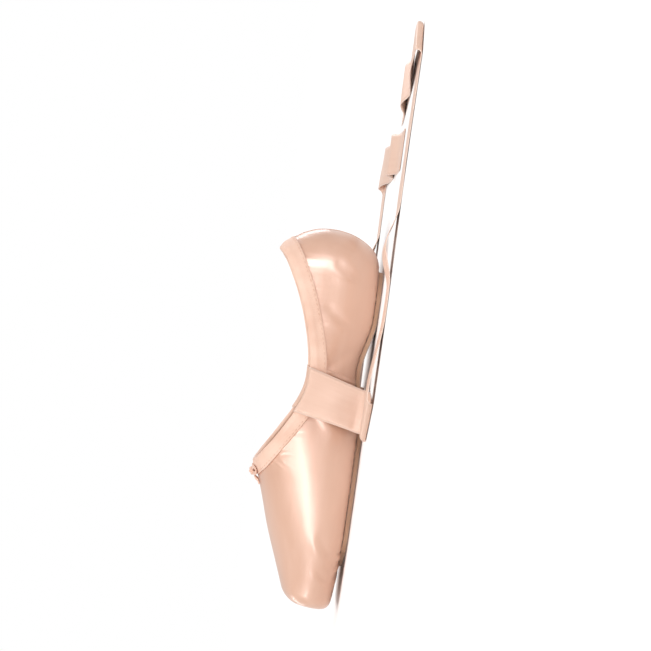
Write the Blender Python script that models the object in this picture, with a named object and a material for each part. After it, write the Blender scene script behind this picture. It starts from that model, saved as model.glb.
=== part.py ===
# Pointe shoe, standing empty on its sole. Metres, +Z up, toe towards -Y, the shoe's left side towards +X.
import math

import bmesh
import bpy
import numpy as np

# Sizes of the last
LENGTH = 0.225            # platform to the back of the heel
BALL_WIDTH = 0.084
VAMP_LENGTH = 0.082       # platform to the throat
THROAT_HEIGHT = 0.0610    # top of the vamp at the throat
HEEL_HEIGHT = 0.0625      # collar at the back
COLLAR_LOW = 0.0350       # collar at its lowest, by the side seam
COLLAR_LOW_AT = LENGTH - 0.090
COLLAR_BEND = 0.35        # how gently the collar turns up from its lowest point

# Platform
PLATFORM_LEAN = math.radians(7.3)
PLATFORM_ROUND = 0.0065   # in plan
PLATFORM_EDGE = 0.0048    # from the side
TOE_SPRING = 0.0018

# Heel
HEEL_ROUND = 0.039        # length of the heel's curve
HEEL_AT = LENGTH - HEEL_ROUND
HEEL_BELLY = 0.0340       # height of the heel's rearmost point
HEEL_DOME = 0.0365        # how far above it the back would close
HEEL_OVERHANG = 0.0215    # behind the outsole's end
HEEL_BLEND = 0.065

# Walls and clearances
BOX_WALL = 0.0028
QUARTER_WALL = 0.0016
GAP = 0.0003

# Soles
SOLE_THICKNESS = 0.0030
SOLE_BEVEL = 0.0010
SOLE_TOE_AT = 0.026
SOLE_WIDTH = 0.057
SOLE_NOSE = 0.62          # its toe end is rounded over this share of half its width
SOLE_MARGIN = 0.0015      # flat of the upper beyond the sole's edge
TURNED_EDGE = 0.0060      # upper turned in over the sole
HOLE_NOSE = 1.2           # the hole's toe end is rounded over this share of half its width
ARCH_RISE = 0.0055
ARCH_LENGTH = 0.066
ARCH_TO = HEEL_AT - 0.010
INSOLE_THICKNESS = 0.0020
INSOLE_TOE_AT = 0.022
PLUG_CLEARANCE = 0.0010   # between the insole's raised underside and the hole's edge
INSOLE_SPREAD = 0.0020    # the insole's top is this much wider than its underside

# Seams
SEAM_AT = LENGTH - 0.0885 # side seam where it meets the sole
SEAM_LEAN = 0.24
SEAM_LEAN_REACH = 0.040
SEAM_WIDTH = 0.0026
SEAM_RAISE = 0.0004
SEAM_SIDE = 0.0006        # slope at each side of a seam
BACK_SEAM_TURN = math.radians(2.4)

# Binding, bow and ribbons
BINDING_WIDTH = 0.0085
BINDING_INSIDE = 0.0070
BINDING_THICKNESS = 0.0009
BINDING_EASE = 0.0002     # extra room inside the collar
BINDING_REACH = 0.024     # behind the throat the binding turns from across the shoe to along it
STRING = 0.0017
KNOT = 0.0038
BOW_AT = VAMP_LENGTH - 0.0061
BOW_TILT = 0.36           # slope of the vamp under the knot
LOOP_LENGTH = 0.0105
LOOP_WIDTH = 0.0050
BOW_END_OUT = 0.0064
BOW_END_DOWN = 0.0053
RIBBON_WIDTH = 0.025
RIBBON_THICKNESS = 0.0006
RIBBON_AT = SEAM_AT - 0.009
RIBBON_RUN = 0.365        # length on the floor
RIBBON_TUCK = 0.012
RIBBON_LAND = 0.007       # radius where a ribbon meets the floor
RIBBON_OFF_FLOOR = 0.0009  # it is soft, and nowhere quite flat
RIBBON_FOLD = 0.0018      # radius of its folds
RIBBON_SETTLE = 0.045     # behind a fold it sinks back to the floor over this length
RIBBON_ROW = 0.018        # between two rows of points along it
RIBBON_FOLD_ROOM = 0.004  # plain rows stop this far from a fold
RIBBON_HANG = 4           # rows from the collar down to where it lands

# How finely things are cut up
SLOPE_STEP = 0.0004       # for the surface's own slopes
EDGE_STEP = 0.0005        # the last plain column stands this far in front of the heel's curve
ROWS_UNDER = 5            # from the foot's edge to the belly
ROWS_OVER = 9             # from the belly to the top
FAN = 7                   # round half the heel
PLANK_STEPS = 34
FOLD_STEPS = 6
RUN_STEPS = 60
WELD = 0.000001

# Cross-sections of the last, one row each. "at" runs from 0 at the platform to 1 at the throat and
# on to 2 where the heel's curve begins. "width" is a share of BALL_WIDTH, "belly" (height of the
# widest line) and "top" of THROAT_HEIGHT, "sole" of SOLE_WIDTH. "full" is how much the shoulder
# swells out of an ellipse.
SECTIONS = [
    dict(at=0.000, width=0.690, belly=0.300, top=0.530, sole=0.36, full=0.22),
    dict(at=0.124, width=0.735, belly=0.300, top=0.595, sole=0.44, full=0.22),
    dict(at=0.274, width=0.815, belly=0.305, top=0.672, sole=0.62, full=0.20),
    dict(at=0.494, width=0.930, belly=0.325, top=0.782, sole=0.92, full=0.17),
    dict(at=0.713, width=0.985, belly=0.345, top=0.872, sole=1.00, full=0.14),
    dict(at=0.919, width=1.000, belly=0.360, top=0.958, sole=1.00, full=0.11),
    dict(at=1.000, width=0.997, belly=0.368, top=1.000, sole=0.98, full=0.10),
    dict(at=1.185, width=0.955, belly=0.385, top=1.150, sole=0.84, full=0.06),
    dict(at=1.423, width=0.845, belly=0.410, top=1.390, sole=0.60, full=0.03),
    dict(at=1.639, width=0.760, belly=0.425, top=1.490, sole=0.54, full=0.00),
    dict(at=1.834, width=0.735, belly=0.430, top=1.430, sole=0.62, full=0.00),
    dict(at=2.000, width=0.735, belly=0.430, top=1.360, sole=0.67, full=0.00),
]

COLORS = dict(
    upper=(0.80, 0.53, 0.40),
    outsole=(0.72, 0.58, 0.46),
    insole=(0.80, 0.68, 0.56),
    collar_binding=(0.88, 0.64, 0.50),
    string=(0.86, 0.60, 0.46),
    ribbon=(0.84, 0.62, 0.51),
)


def clear_scene():
    for old in list(bpy.data.objects):
        bpy.data.objects.remove(old, do_unlink=True)


def ease(x):
    x = min(max(x, 0.0), 1.0)
    return x * x * (3 - 2 * x)


def station(share):
    behind = max(share - 1, 0.0)
    return min(share, 1.0) * VAMP_LENGTH + behind * (HEEL_AT - VAMP_LENGTH)


def column(name, s):
    # A smooth curve through one column of SECTIONS.
    at = [station(row["at"]) for row in SECTIONS]
    value = [row[name] for row in SECTIONS]
    s = min(max(s, at[0]), at[-1])
    k = min(max(int(np.searchsorted(at, s)) - 1, 0), len(at) - 2)
    slope = [
        (value[min(i + 1, len(at) - 1)] - value[max(i - 1, 0)])
        / (at[min(i + 1, len(at) - 1)] - at[max(i - 1, 0)])
        for i in (k, k + 1)
    ]
    step = at[k + 1] - at[k]
    t = (s - at[k]) / step
    return (
        (1 + 2 * t) * (1 - t) ** 2 * value[k]
        + t * (1 - t) ** 2 * step * slope[0]
        + t * t * (3 - 2 * t) * value[k + 1]
        - t * t * (1 - t) * step * slope[1]
    )


def arch(s):
    share = (ARCH_TO - s) / ARCH_LENGTH
    return ARCH_RISE * math.sin(math.pi * share) ** 2 if 0 < share < 1 else 0.0


def under(s):
    # Height of the upper's underside.
    spring = TOE_SPRING * max(0.0, 1 - s / (2 * SOLE_TOE_AT)) ** 2
    return SOLE_THICKNESS + GAP + spring + arch(s)


def section(s):
    base = under(s)
    return dict(
        width=column("width", s) * BALL_WIDTH / 2,
        foot=column("sole", s) * SOLE_WIDTH / 2 + SOLE_MARGIN,
        base=base,
        belly=base + column("belly", s) * THROAT_HEIGHT - SOLE_THICKNESS,
        top=column("top", s) * THROAT_HEIGHT,
        full=column("full", s),
    )


def reach(cut, z):
    # Half width of a section at height z.
    if z < cut["belly"]:
        down = min((cut["belly"] - z) / (cut["belly"] - cut["base"]), 1.0)
        return cut["foot"] + (cut["width"] - cut["foot"]) * math.sqrt(1 - down**2)
    up = min((z - cut["belly"]) / (cut["top"] - cut["belly"]), 1.0)
    return cut["width"] * math.sqrt(1 - up**2) * (1 + cut["full"] * up**2)


def sole_end():
    return LENGTH - HEEL_OVERHANG


def back_reach(z):
    # How far the heel's back lies from the platform at height z.
    low = under(HEEL_AT)
    flat = sole_end() + SOLE_MARGIN
    if z < HEEL_BELLY:
        down = min((HEEL_BELLY - z) / (HEEL_BELLY - low), 1.0)
        return flat + (LENGTH - flat) * math.sqrt(1 - down**2)
    up = (z - HEEL_BELLY) / HEEL_DOME
    return LENGTH - (LENGTH - HEEL_AT) * (1 - math.sqrt(max(1 - up**2, 0.0)))


def heel_centre(z):
    return back_reach(z) - reach(section(HEEL_AT), z)


def drawn_back(s):
    # How far the underside's edge lies behind its station, next to the heel's curve.
    return (heel_centre(under(HEEL_AT)) - HEEL_AT) * ease(1 - (HEEL_AT - s) / HEEL_BLEND)


def collar_height(s):
    if s < COLLAR_LOW_AT:
        u = (COLLAR_LOW_AT - s) / (COLLAR_LOW_AT - VAMP_LENGTH)
        rise = THROAT_HEIGHT - COLLAR_LOW
    else:
        u = min((s - COLLAR_LOW_AT) / (back_reach(HEEL_HEIGHT) - COLLAR_LOW_AT), 1.0)
        rise = HEEL_HEIGHT - COLLAR_LOW
    return COLLAR_LOW + rise * (math.hypot(u, COLLAR_BEND) - COLLAR_BEND) / (
        math.hypot(1, COLLAR_BEND) - COLLAR_BEND
    )


def skin(s, turn, z, out=0.0):
    # A point of the left side: s along the last, turn round the heel, height z, out from the surface.
    def place(s_, turn_, z_):
        cut = section(s_)
        x = reach(cut, z_)
        if s_ < HEEL_AT:
            lean = math.tan(PLATFORM_LEAN) * (z_ - cut["base"]) * max(0.0, 1 - s_ / VAMP_LENGTH)
            shift = (heel_centre(z_) - HEEL_AT) * ease(1 - (HEEL_AT - s_) / HEEL_BLEND)
            return np.array([x, s_ + lean + shift, z_])
        centre = heel_centre(z_)
        return np.array([x * math.cos(turn_), centre + x * math.sin(turn_), z_])

    point = place(s, turn, z)
    if out:
        point = point + out * normal(place, s, turn, z)
    return point


def normal(place, s, turn, z):
    # Outward direction, from the surface's own slopes.
    h = SLOPE_STEP
    if s < HEEL_AT - h:
        along = place(s + h, turn, z) - place(s - h, turn, z)
    else:
        along = place(HEEL_AT, turn + 0.02, z) - place(HEEL_AT, max(turn - 0.02, 0.0), z)
    cut = section(s)
    low = max(z - h, cut["base"] + WELD)
    high = min(z + h, cut["top"] - WELD) if s < VAMP_LENGTH else z + h
    rise = place(s, turn, high) - place(s, turn, low)
    n = np.cross(along, rise)
    return n / np.linalg.norm(n)


def wall(s):
    # The box is stiffened; its wall thins out in front of the binding.
    thin = VAMP_LENGTH - 1.5 * BINDING_WIDTH
    return QUARTER_WALL + (BOX_WALL - QUARTER_WALL) * ease((thin - s) / (thin / 2))


def opening(s):
    # Half width of the hole underneath.
    start = SOLE_TOE_AT + TURNED_EDGE
    if s <= start:
        return 0.0
    wide = section(s)["foot"] - SOLE_MARGIN - TURNED_EDGE
    return wide * math.sqrt(min((s - start) / (HOLE_NOSE * wide), 1.0))


def spread(first, last, count, power=1.0):
    return [first + (last - first) * (k / count) ** power for k in range(count + 1)]


def rows_of(s, turn, top):
    # Heights of one column from the foot's edge to its top.
    cut = section(s)
    belly = cut["belly"] + (HEEL_BELLY - cut["belly"]) * math.sin(turn) ** 2
    heights = []
    for k in range(ROWS_UNDER + 1):
        down = math.cos(math.pi / 2 * k / ROWS_UNDER)
        heights.append(belly - (belly - cut["base"]) * down)
    crown = cut["top"] + (HEEL_BELLY + HEEL_DOME - cut["top"]) * math.sin(turn) ** 2
    end = math.asin(min((top - belly) / (crown - belly), 1.0))
    for k in range(1, ROWS_OVER + 1):
        heights.append(belly + (crown - belly) * math.sin(end * k / ROWS_OVER))
    return heights


def front_columns():
    # The box, from the middle of its platform to the throat.
    columns = []
    for shrink in (0.0, 0.5):
        columns.append(platform_ring(shrink, 1.0, 0.0))
    for k in range(5):
        angle = math.pi / 2 * k / 4
        columns.append(platform_ring(1.0, 1 - math.sin(angle), 1 - math.cos(angle)))
    start = SOLE_TOE_AT + TURNED_EDGE
    stations = spread(PLATFORM_ROUND, start, 4)[1:]
    stations += spread(start, VAMP_LENGTH, 10, 1.35)[1:]
    return columns + [column_at(s) for s in stations]


def platform_ring(scale, inset, depth):
    # The ring at one step of the platform's rounded edge; scale 0 is its middle.
    s = depth * PLATFORM_ROUND
    cut = section(s)
    middle = (cut["base"] + cut["top"]) / 2
    tall = (cut["top"] - cut["base"]) / 2
    points = []
    for x, _, z in column_at(s, leaning=False):
        x_in = x * (1 - inset * PLATFORM_ROUND / cut["width"]) * scale
        z_in = middle + (z - middle) * (1 - inset * PLATFORM_EDGE / tall) * scale
        lean = math.tan(PLATFORM_LEAN) * (z_in - cut["base"]) * (1 - s / VAMP_LENGTH)
        points.append((x_in, s + lean, z_in))
    return points


def column_at(s, turn=0.0, leaning=True):
    # One column of the outer surface, from the hole's edge underneath to the top line.
    cut = section(s)
    lean = column_lean(s) if s < HEEL_AT else 0.0
    top = column_top(s) if s < HEEL_AT else collar_in_fan(turn)
    seam = seam_height(s, turn)
    points = []
    half_hole = opening(s)
    base = cut["base"]
    if turn or s >= HEEL_AT:
        centre = heel_centre(base)
        for out in (half_hole, cut["foot"]):
            points.append((out * math.cos(turn), centre + out * math.sin(turn), base))
    else:
        at = s + drawn_back(s)
        points.append((half_hole, at, under(at)))
        points.append((cut["foot"], at, under(at)))
    for z in rows_of(s, turn, top)[1:]:
        at = s + lean * (z - base)
        raised = seam if z < top - BINDING_WIDTH * 1.15 else 0.0
        if leaning:
            points.append(tuple(skin(at, turn, z, raised)))
        else:
            points.append((reach(cut, z), s, z))
    if s <= VAMP_LENGTH:
        points[-1] = (0.0, points[-1][1], points[-1][2])
    if turn > math.pi / 2 - 1e-6:
        points = [(0.0, y, z) for _, y, z in points]
    return points


def column_lean(s):
    # Columns near the side seam lean with it.
    return SEAM_LEAN * ease(1 - abs(s - SEAM_AT) / SEAM_LEAN_REACH)


def column_top(s):
    cut = section(s)
    if s <= VAMP_LENGTH:
        return cut["top"]
    top = collar_height(s)
    for _ in range(4):
        top = collar_height(s + column_lean(s) * (top - cut["base"]))
    return top


def seam_height(s, turn):
    side = abs(s - SEAM_AT) < SEAM_WIDTH / 2 + 1e-6
    back = turn > math.pi / 2 - BACK_SEAM_TURN / 2
    return SEAM_RAISE if side or back else 0.0


def collar_in_fan(turn):
    low = collar_height(HEEL_AT)
    return low + (HEEL_HEIGHT - low) * math.sin(turn)


def collar_stations():
    # Columns from the throat to where the heel's curve begins, with four at the side seam.
    stations = spread(VAMP_LENGTH, SEAM_AT - SEAM_WIDTH / 2 - SEAM_SIDE, 15, 1.7)
    stations += [SEAM_AT - SEAM_WIDTH / 2, SEAM_AT + SEAM_WIDTH / 2]
    return stations + spread(SEAM_AT + SEAM_WIDTH / 2 + SEAM_SIDE, HEEL_AT - EDGE_STEP, 7)


def heel_turns():
    # Columns round the heel, to the back seam.
    last = math.pi / 2 - 1.6 * BACK_SEAM_TURN
    return spread(0.0, last, FAN)[1:] + [math.pi / 2 - BACK_SEAM_TURN, math.pi / 2]


def back_columns():
    columns = [column_at(s) for s in collar_stations()[1:]]
    return columns + [column_at(HEEL_AT, turn) for turn in heel_turns()]


def grid_faces(columns, rows, offset=0):
    faces = []
    for j in range(columns - 1):
        for i in range(rows - 1):
            a = offset + j * rows + i
            faces.append((a, a + rows, a + rows + 1, a + 1))
    return faces


def centred(points):
    return [(x, y - LENGTH / 2, z) for x, y, z in points]


def new_object(name, points, faces, color, rough):
    mesh = bpy.data.meshes.new(name)
    mesh.from_pydata(centred(points), [], faces)
    thing = bpy.data.objects.new(name, mesh)
    bpy.context.scene.collection.objects.link(thing)
    finish(thing, color, rough)
    return thing


def finish(thing, color, rough):
    material = bpy.data.materials.new(thing.name)
    material.use_nodes = True
    shader = material.node_tree.nodes["Principled BSDF"]
    shader.inputs["Base Color"].default_value = (*COLORS[color], 1)
    shader.inputs["Roughness"].default_value = rough
    shader.inputs["Metallic"].default_value = 0.0
    thing.data.materials.append(material)


def tidy(thing):
    # Mirrors a grid across the middle, welds its seams and turns its faces outward.
    work = bmesh.new()
    work.from_mesh(thing.data)
    bmesh.ops.remove_doubles(work, verts=work.verts, dist=WELD)
    both = bmesh.ops.duplicate(work, geom=work.verts[:] + work.edges[:] + work.faces[:])
    for vert in both["geom"]:
        if isinstance(vert, bmesh.types.BMVert):
            vert.co.x = -vert.co.x
    faces = [g for g in both["geom"] if isinstance(g, bmesh.types.BMFace)]
    bmesh.ops.reverse_faces(work, faces=faces)
    bmesh.ops.remove_doubles(work, verts=work.verts, dist=WELD)
    bmesh.ops.dissolve_degenerate(work, edges=work.edges, dist=WELD / 10)
    bmesh.ops.recalc_face_normals(work, faces=work.faces)
    work.to_mesh(thing.data)
    work.free()
    thing.data.shade_smooth()


def build_upper():
    columns = front_columns() + back_columns()
    rows = len(columns[0])
    points = [p for one in columns for p in one]
    thing = new_object("upper", points, grid_faces(len(columns), rows), "upper", 0.35)
    tidy(thing)
    group = thing.vertex_groups.new(name="wall")
    for vert in thing.data.vertices:
        group.add([vert.index], wall(vert.co.y + LENGTH / 2) / BOX_WALL, "REPLACE")
    solid = thing.modifiers.new("wall", "SOLIDIFY")
    solid.thickness = BOX_WALL
    solid.offset = -1
    solid.use_even_offset = True
    solid.use_rim = True
    solid.vertex_group = "wall"
    return thing


def sole_half_width(s):
    # The outsole's outline: a rounded toe end, the table's widths and a round heel end.
    wide = section(min(s, HEEL_AT))["foot"] - SOLE_MARGIN
    nose = (s - SOLE_TOE_AT) / (SOLE_NOSE * SOLE_WIDTH / 2)
    tail = (sole_end() - s) / (section(HEEL_AT)["foot"] - SOLE_MARGIN)
    return wide * rounded(nose) * rounded(tail)


def rounded(share):
    # A quarter of an ellipse, from 0 at its end to 1 where it runs into the side.
    return math.sqrt(max(1 - (1 - min(share, 1.0)) ** 2, 0.0))


def plank(name, levels, color, rough):
    # A flat piece: each level is a loop of half widths with its first and last station and its height.
    count = PLANK_STEPS
    points = []
    for level in levels:
        first, last = level["first"], level["last"]
        for k in range(count + 1):
            s = (first + last) / 2 - (last - first) / 2 * math.cos(math.pi * k / count)
            s = min(max(s, first), last)
            inner = level["width"](s) if 0 < k < count else 0.0
            points.append((max(inner, 0.0), s, level["height"](s)))
    stride = count + 1
    faces = []
    for n in range(len(levels) - 1):
        for k in range(count):
            a = n * stride + k
            faces.append((a, a + 1, a + 1 + stride, a + stride))
    top = (len(levels) - 1) * stride
    middle = len(points)
    for n, start in ((0, 0), (1, top)):
        for k in range(count + 1):
            x, y, z = points[start + k]
            points.append((0.0, y, z))
        for k in range(count):
            a, b = start + k, middle + n * stride + k
            faces.append((a, b, b + 1, a + 1))
    thing = new_object(name, points, faces, color, rough)
    tidy(thing)
    return thing


def build_outsole():
    end = sole_end()

    def bevelled(s):
        # The outline drawn in by the bevel, over a length that is shorter by it at both ends.
        share = (s - SOLE_TOE_AT - SOLE_BEVEL) / (end - SOLE_TOE_AT - 2 * SOLE_BEVEL)
        full = sole_half_width(SOLE_TOE_AT + share * (end - SOLE_TOE_AT))
        return full - SOLE_BEVEL * math.sqrt(max(math.sin(math.pi * share), 0.0))

    def low(s):
        return under(s) - GAP - SOLE_THICKNESS

    whole = dict(first=SOLE_TOE_AT, last=end, width=sole_half_width)
    levels = [
        dict(first=SOLE_TOE_AT + SOLE_BEVEL, last=end - SOLE_BEVEL, width=bevelled, height=low),
        dict(**whole, height=lambda s: low(s) + SOLE_BEVEL),
        dict(**whole, height=lambda s: low(s) + SOLE_THICKNESS),
    ]
    return plank("outsole", levels, "outsole", 0.6)


def build_insole():
    hole_start = SOLE_TOE_AT + TURNED_EDGE
    hole_end = heel_centre(under(HEEL_AT)) + opening(HEEL_AT)

    def plug(s):
        # Just inside the hole underneath, whose places are drawn back towards the heel.
        at = s
        if s < HEEL_AT:
            for _ in range(6):
                at = s - drawn_back(at)
        tail = (hole_end - s) / opening(HEEL_AT)
        return opening(min(at, HEEL_AT)) * rounded(tail) - PLUG_CLEARANCE

    def lap(extra):
        first = INSOLE_TOE_AT
        last = sole_end() - extra + SOLE_MARGIN - QUARTER_WALL

        def half(s):
            wide = section(min(s, HEEL_AT))["foot"] - extra
            return wide * rounded((s - first) / wide) * rounded((last - s) / wide)

        return dict(first=first, last=last, width=half)

    def seat(s):
        return under(s) + wall(s) + GAP

    margin = 1.5 * PLUG_CLEARANCE
    raised = dict(first=hole_start + margin, last=hole_end - margin, width=plug)
    levels = [
        dict(**raised, height=under),
        dict(**raised, height=seat),
        dict(**lap(INSOLE_SPREAD), height=seat),
        dict(**lap(0.0), height=lambda s: seat(s) + INSOLE_THICKNESS),
    ]
    return plank("insole", levels, "insole", 0.7)


def collar_line(down):
    # Places along the collar's edge, or along a line this far below it, from the throat to the heel's back.
    places = []
    for start in collar_stations():
        at = start + column_lean(start) * (column_top(start) - under(start))
        if start == VAMP_LENGTH:
            at = start
        edge, height = section(at), collar_height(at)
        share = min((height - edge["belly"]) / (edge["top"] - edge["belly"]), 1.0)
        back = ease((at - VAMP_LENGTH) / BINDING_REACH)
        s = at - down * (1 - back)
        cut = section(s)
        places.append((s, 0.0, cut["belly"] + (cut["top"] - cut["belly"]) * share - down * back))
    for turn in heel_turns():
        places.append((HEEL_AT, turn, collar_in_fan(turn) - down * (1 - 0.2 * math.sin(turn))))
    return places


def collar_point(place, out):
    s, turn, z = place
    cut = section(s)
    if turn == 0 and z > cut["top"] - 1e-7:
        slope = (section(s + SLOPE_STEP)["top"] - section(s - SLOPE_STEP)["top"]) / (2 * SLOPE_STEP)
        tilt = math.atan(slope)
        x, y, z = skin(s, 0.0, cut["top"])
        return (0.0, y - out * math.sin(tilt), z + out * math.cos(tilt))
    point = skin(s, turn, z, out)
    if turn > math.pi / 2 - 1e-6:
        point[0] = 0.0
    return tuple(point)


def build_binding():
    inner = QUARTER_WALL + BINDING_EASE
    thick = BINDING_THICKNESS
    # One row for each corner of the folded casing: how far below the edge, how far out of the surface.
    fold = [
        (BINDING_WIDTH, GAP),
        (BINDING_WIDTH, GAP + thick * 0.8),
        (BINDING_WIDTH / 2, GAP + thick),
        (0.0, GAP + thick),
        (-GAP - thick, GAP / 2),
        (-GAP - thick, -inner - GAP / 2),
        (0.0, -inner - GAP - thick),
        (BINDING_INSIDE / 2, -inner - GAP - thick),
        (BINDING_INSIDE, -inner - GAP - thick * 0.8),
        (BINDING_INSIDE, -inner - GAP),
        (BINDING_INSIDE / 2, -inner - GAP),
        (-GAP, -inner - GAP),
        (-GAP, GAP),
        (BINDING_WIDTH / 2, GAP),
    ]
    fold.append(fold[0])
    lines = [[collar_point(p, out) for p in collar_line(down)] for down, out in fold]
    count = len(lines[0])
    points = [p for line in lines for p in line]
    thing = new_object("collar_binding", points, grid_faces(len(fold), count), "collar_binding", 0.55)
    tidy(thing)
    return thing


def vamp_point(x, s, lift):
    # A point over the vamp at a distance x from its ridge.
    cut = section(s)
    c = x / cut["width"]
    for _ in range(4):
        c = x / cut["width"] / (1 + cut["full"] * (1 - c * c))
    z = cut["belly"] + (cut["top"] - cut["belly"]) * math.sqrt(1 - c * c)
    if abs(x) < 2 * SLOPE_STEP:
        return np.array(collar_point((s, 0.0, cut["top"]), lift)) + [x, 0, 0]
    point = skin(s, 0.0, z, lift)
    point[0] = math.copysign(point[0], x) if x > 0 else -point[0]
    return point


def build_string(name, route):
    curve = bpy.data.curves.new(name, "CURVE")
    curve.dimensions = "3D"
    curve.bevel_depth = STRING / 2
    curve.bevel_resolution = 1
    curve.use_fill_caps = True
    line = curve.splines.new("POLY")
    line.points.add(len(route) - 1)
    for point, place in zip(line.points, centred(route)):
        point.co = (*place, 1)
    thing = bpy.data.objects.new(name, curve)
    bpy.context.scene.collection.objects.link(thing)
    finish(thing, "string", 0.5)
    return thing


def build_bow():
    # A small flat bow on the vamp, at the binding's lower edge.
    lift = 2 * GAP + BINDING_THICKNESS + STRING / 2
    at = BOW_AT
    knot = bmesh.new()
    bmesh.ops.create_icosphere(knot, subdivisions=2, radius=KNOT / 2)
    mesh = bpy.data.meshes.new("bow_knot")
    knot.to_mesh(mesh)
    knot.free()
    thing = bpy.data.objects.new("bow_knot", mesh)
    bpy.context.scene.collection.objects.link(thing)
    x, y, z = vamp_point(0.0, at, 2 * GAP + BINDING_THICKNESS + KNOT * 0.4)
    thing.location = (x, y - LENGTH / 2, z)
    thing.rotation_euler = (math.atan(BOW_TILT), 0, 0)
    thing.scale = (1.0, 1.0, 0.8)
    mesh.shade_smooth()
    finish(thing, "string", 0.5)
    edge = KNOT / 2 + GAP + STRING / 2
    for side, name in ((1, "left"), (-1, "right")):
        loop = []
        for k in range(19):
            t = 2 * math.pi * (k / 18)
            out = edge + LOOP_LENGTH * (1 - math.cos(t)) / 2
            across = LOOP_WIDTH / 2 * math.sin(t) * (0.35 + 0.65 * (1 - math.cos(t)) / 2)
            opened = STRING * 0.62 * (1 if t < math.pi else -1) * (1 - (1 - math.cos(t)) / 2)
            loop.append(vamp_point(side * out, at + 0.0012 + across + opened, lift))
        build_string(f"bow_loop_{name}", loop)
        tail = []
        for k in range(7):
            t = k / 6
            out = KNOT * 0.42 + BOW_END_OUT * t
            tail.append(vamp_point(side * out, at - edge * 0.93 - BOW_END_DOWN * t, lift))
        build_string(f"bow_end_{name}", tail)


def turned(vector, axis, angle):
    axis = axis / np.linalg.norm(axis)
    return (
        vector * math.cos(angle)
        + np.cross(axis, vector) * math.sin(angle)
        + axis * (axis @ vector) * (1 - math.cos(angle))
    )


def walk(place, ahead, across, steps):
    # Follows a strip: each step has a length, a bend about the strip's width and that bend's skew.
    frames = [(place, ahead, across)]
    for length, bend, skew in steps:
        count = max(1, round(abs(bend) / math.radians(24)))
        for _ in range(count):
            axis = across * math.cos(skew) + ahead * math.sin(skew)
            ahead = turned(ahead, axis, bend / count / 2)
            across = turned(across, axis, bend / count / 2)
            place = place + ahead * length / count
            ahead = turned(ahead, axis, bend / count / 2)
            across = turned(across, axis, bend / count / 2)
            frames.append((place, ahead, across))
    return frames


# How each ribbon lies on the floor. A fold turns it over: "at" is its place along the run, "skew" the
# fold's slant in degrees. A wave lifts it. A sway turns it in its own plane, by degrees. "at" and "long"
# are shares of RIBBON_RUN, "high" of RIBBON_WIDTH.
RIBBON_LIE = dict(
    left=dict(
        folds=[dict(at=0.090, skew=43), dict(at=0.700, skew=-33)],
        waves=[dict(at=0.3125, long=0.125, high=0.20), dict(at=0.8625, long=0.100, high=0.16)],
        sways=[dict(at=0.175, long=0.200, turn=-11), dict(at=0.400, long=0.200, turn=16)],
    ),
    right=dict(
        folds=[dict(at=0.115, skew=47), dict(at=0.5625, skew=-42)],
        waves=[dict(at=0.3375, long=0.1125, high=0.18), dict(at=0.8125, long=0.1125, high=0.20)],
        sways=[dict(at=0.200, long=0.175, turn=9), dict(at=0.375, long=0.150, turn=-12)],
    ),
)


def run_rows(lie):
    # Places of the cross rows along a ribbon's run on the floor, each with its slant.
    rows = []
    edge = 0.0
    for fold in lie["folds"]:
        skew = math.radians(fold["skew"])
        turn = math.pi * RIBBON_FOLD / math.cos(skew)
        side = abs(math.tan(skew)) * RIBBON_WIDTH / 2 + RIBBON_FOLD_ROOM
        begin = fold["at"] * RIBBON_RUN
        rows += plain_rows(edge, begin - side)
        rows += [(at, math.tan(skew)) for at in spread(begin, begin + turn, FOLD_STEPS)]
        edge = begin + turn + side
    return rows + plain_rows(edge, RIBBON_RUN)


def plain_rows(first, last):
    count = max(2, round((last - first) / RIBBON_ROW))
    return [(at, 0.0) for at in spread(first, last, count)]


def middle_line(lie, along):
    # Where the ribbon's middle line has got to, flat on the floor, and its heading.
    x = y = heading = 0.0
    step = along / RUN_STEPS
    for k in range(RUN_STEPS):
        at = step * (k + 0.5) / RIBBON_RUN
        bends = (math.radians(s["turn"]) * ease((at - s["at"]) / s["long"]) for s in lie["sways"])
        heading = sum(bends)
        x += math.cos(heading) * step
        y += math.sin(heading) * step
    return x, y, heading


def run_point(lie, along, across):
    # A point of the ribbon's middle surface: flat with its sways and waves first, and then folded.
    x, y, heading = middle_line(lie, along)
    point = np.array([x - math.sin(heading) * across, y + math.cos(heading) * across, 0.0])
    sides = [(-1) ** n for n in range(len(lie["folds"]))]
    for fold, side in zip(lie["folds"], sides):
        settled = ease((along - fold["at"] * RIBBON_RUN) / RIBBON_SETTLE - 0.5)
        point[2] += side * 2 * RIBBON_FOLD * settled
    for wave in lie["waves"]:
        turned_over = sum(wave["at"] > fold["at"] for fold in lie["folds"])
        t = (along / RIBBON_RUN - wave["at"]) / wave["long"]
        if 0 < t < 1:
            high = wave["high"] * RIBBON_WIDTH
            point[2] += (-1) ** turned_over * high * math.sin(math.pi * t) ** 2
    base = sum(sides) * 2 * RIBBON_FOLD
    for fold, side in reversed(list(zip(lie["folds"], sides))):
        base -= side * 2 * RIBBON_FOLD
        point = folded_over(point, lie, fold, side, base)
    return point


def folded_over(point, lie, fold, side, base):
    # Wraps what lies beyond a fold's line round a small roll.
    x, y, heading = middle_line(lie, fold["at"] * RIBBON_RUN)
    angle = heading - math.radians(fold["skew"])
    forward = np.array([math.cos(angle), math.sin(angle), 0.0])
    beyond = (point - [x, y, 0.0]) @ forward
    if beyond <= 0:
        return point
    high = (point[2] - base) * side
    theta = min(beyond / RIBBON_FOLD, math.pi)
    rest = beyond - theta * RIBBON_FOLD
    back = (RIBBON_FOLD - high) * math.sin(theta) - rest
    flat = point - forward * beyond + forward * back
    flat[2] = base + side * (RIBBON_FOLD - (RIBBON_FOLD - high) * math.cos(theta))
    return flat


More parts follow.
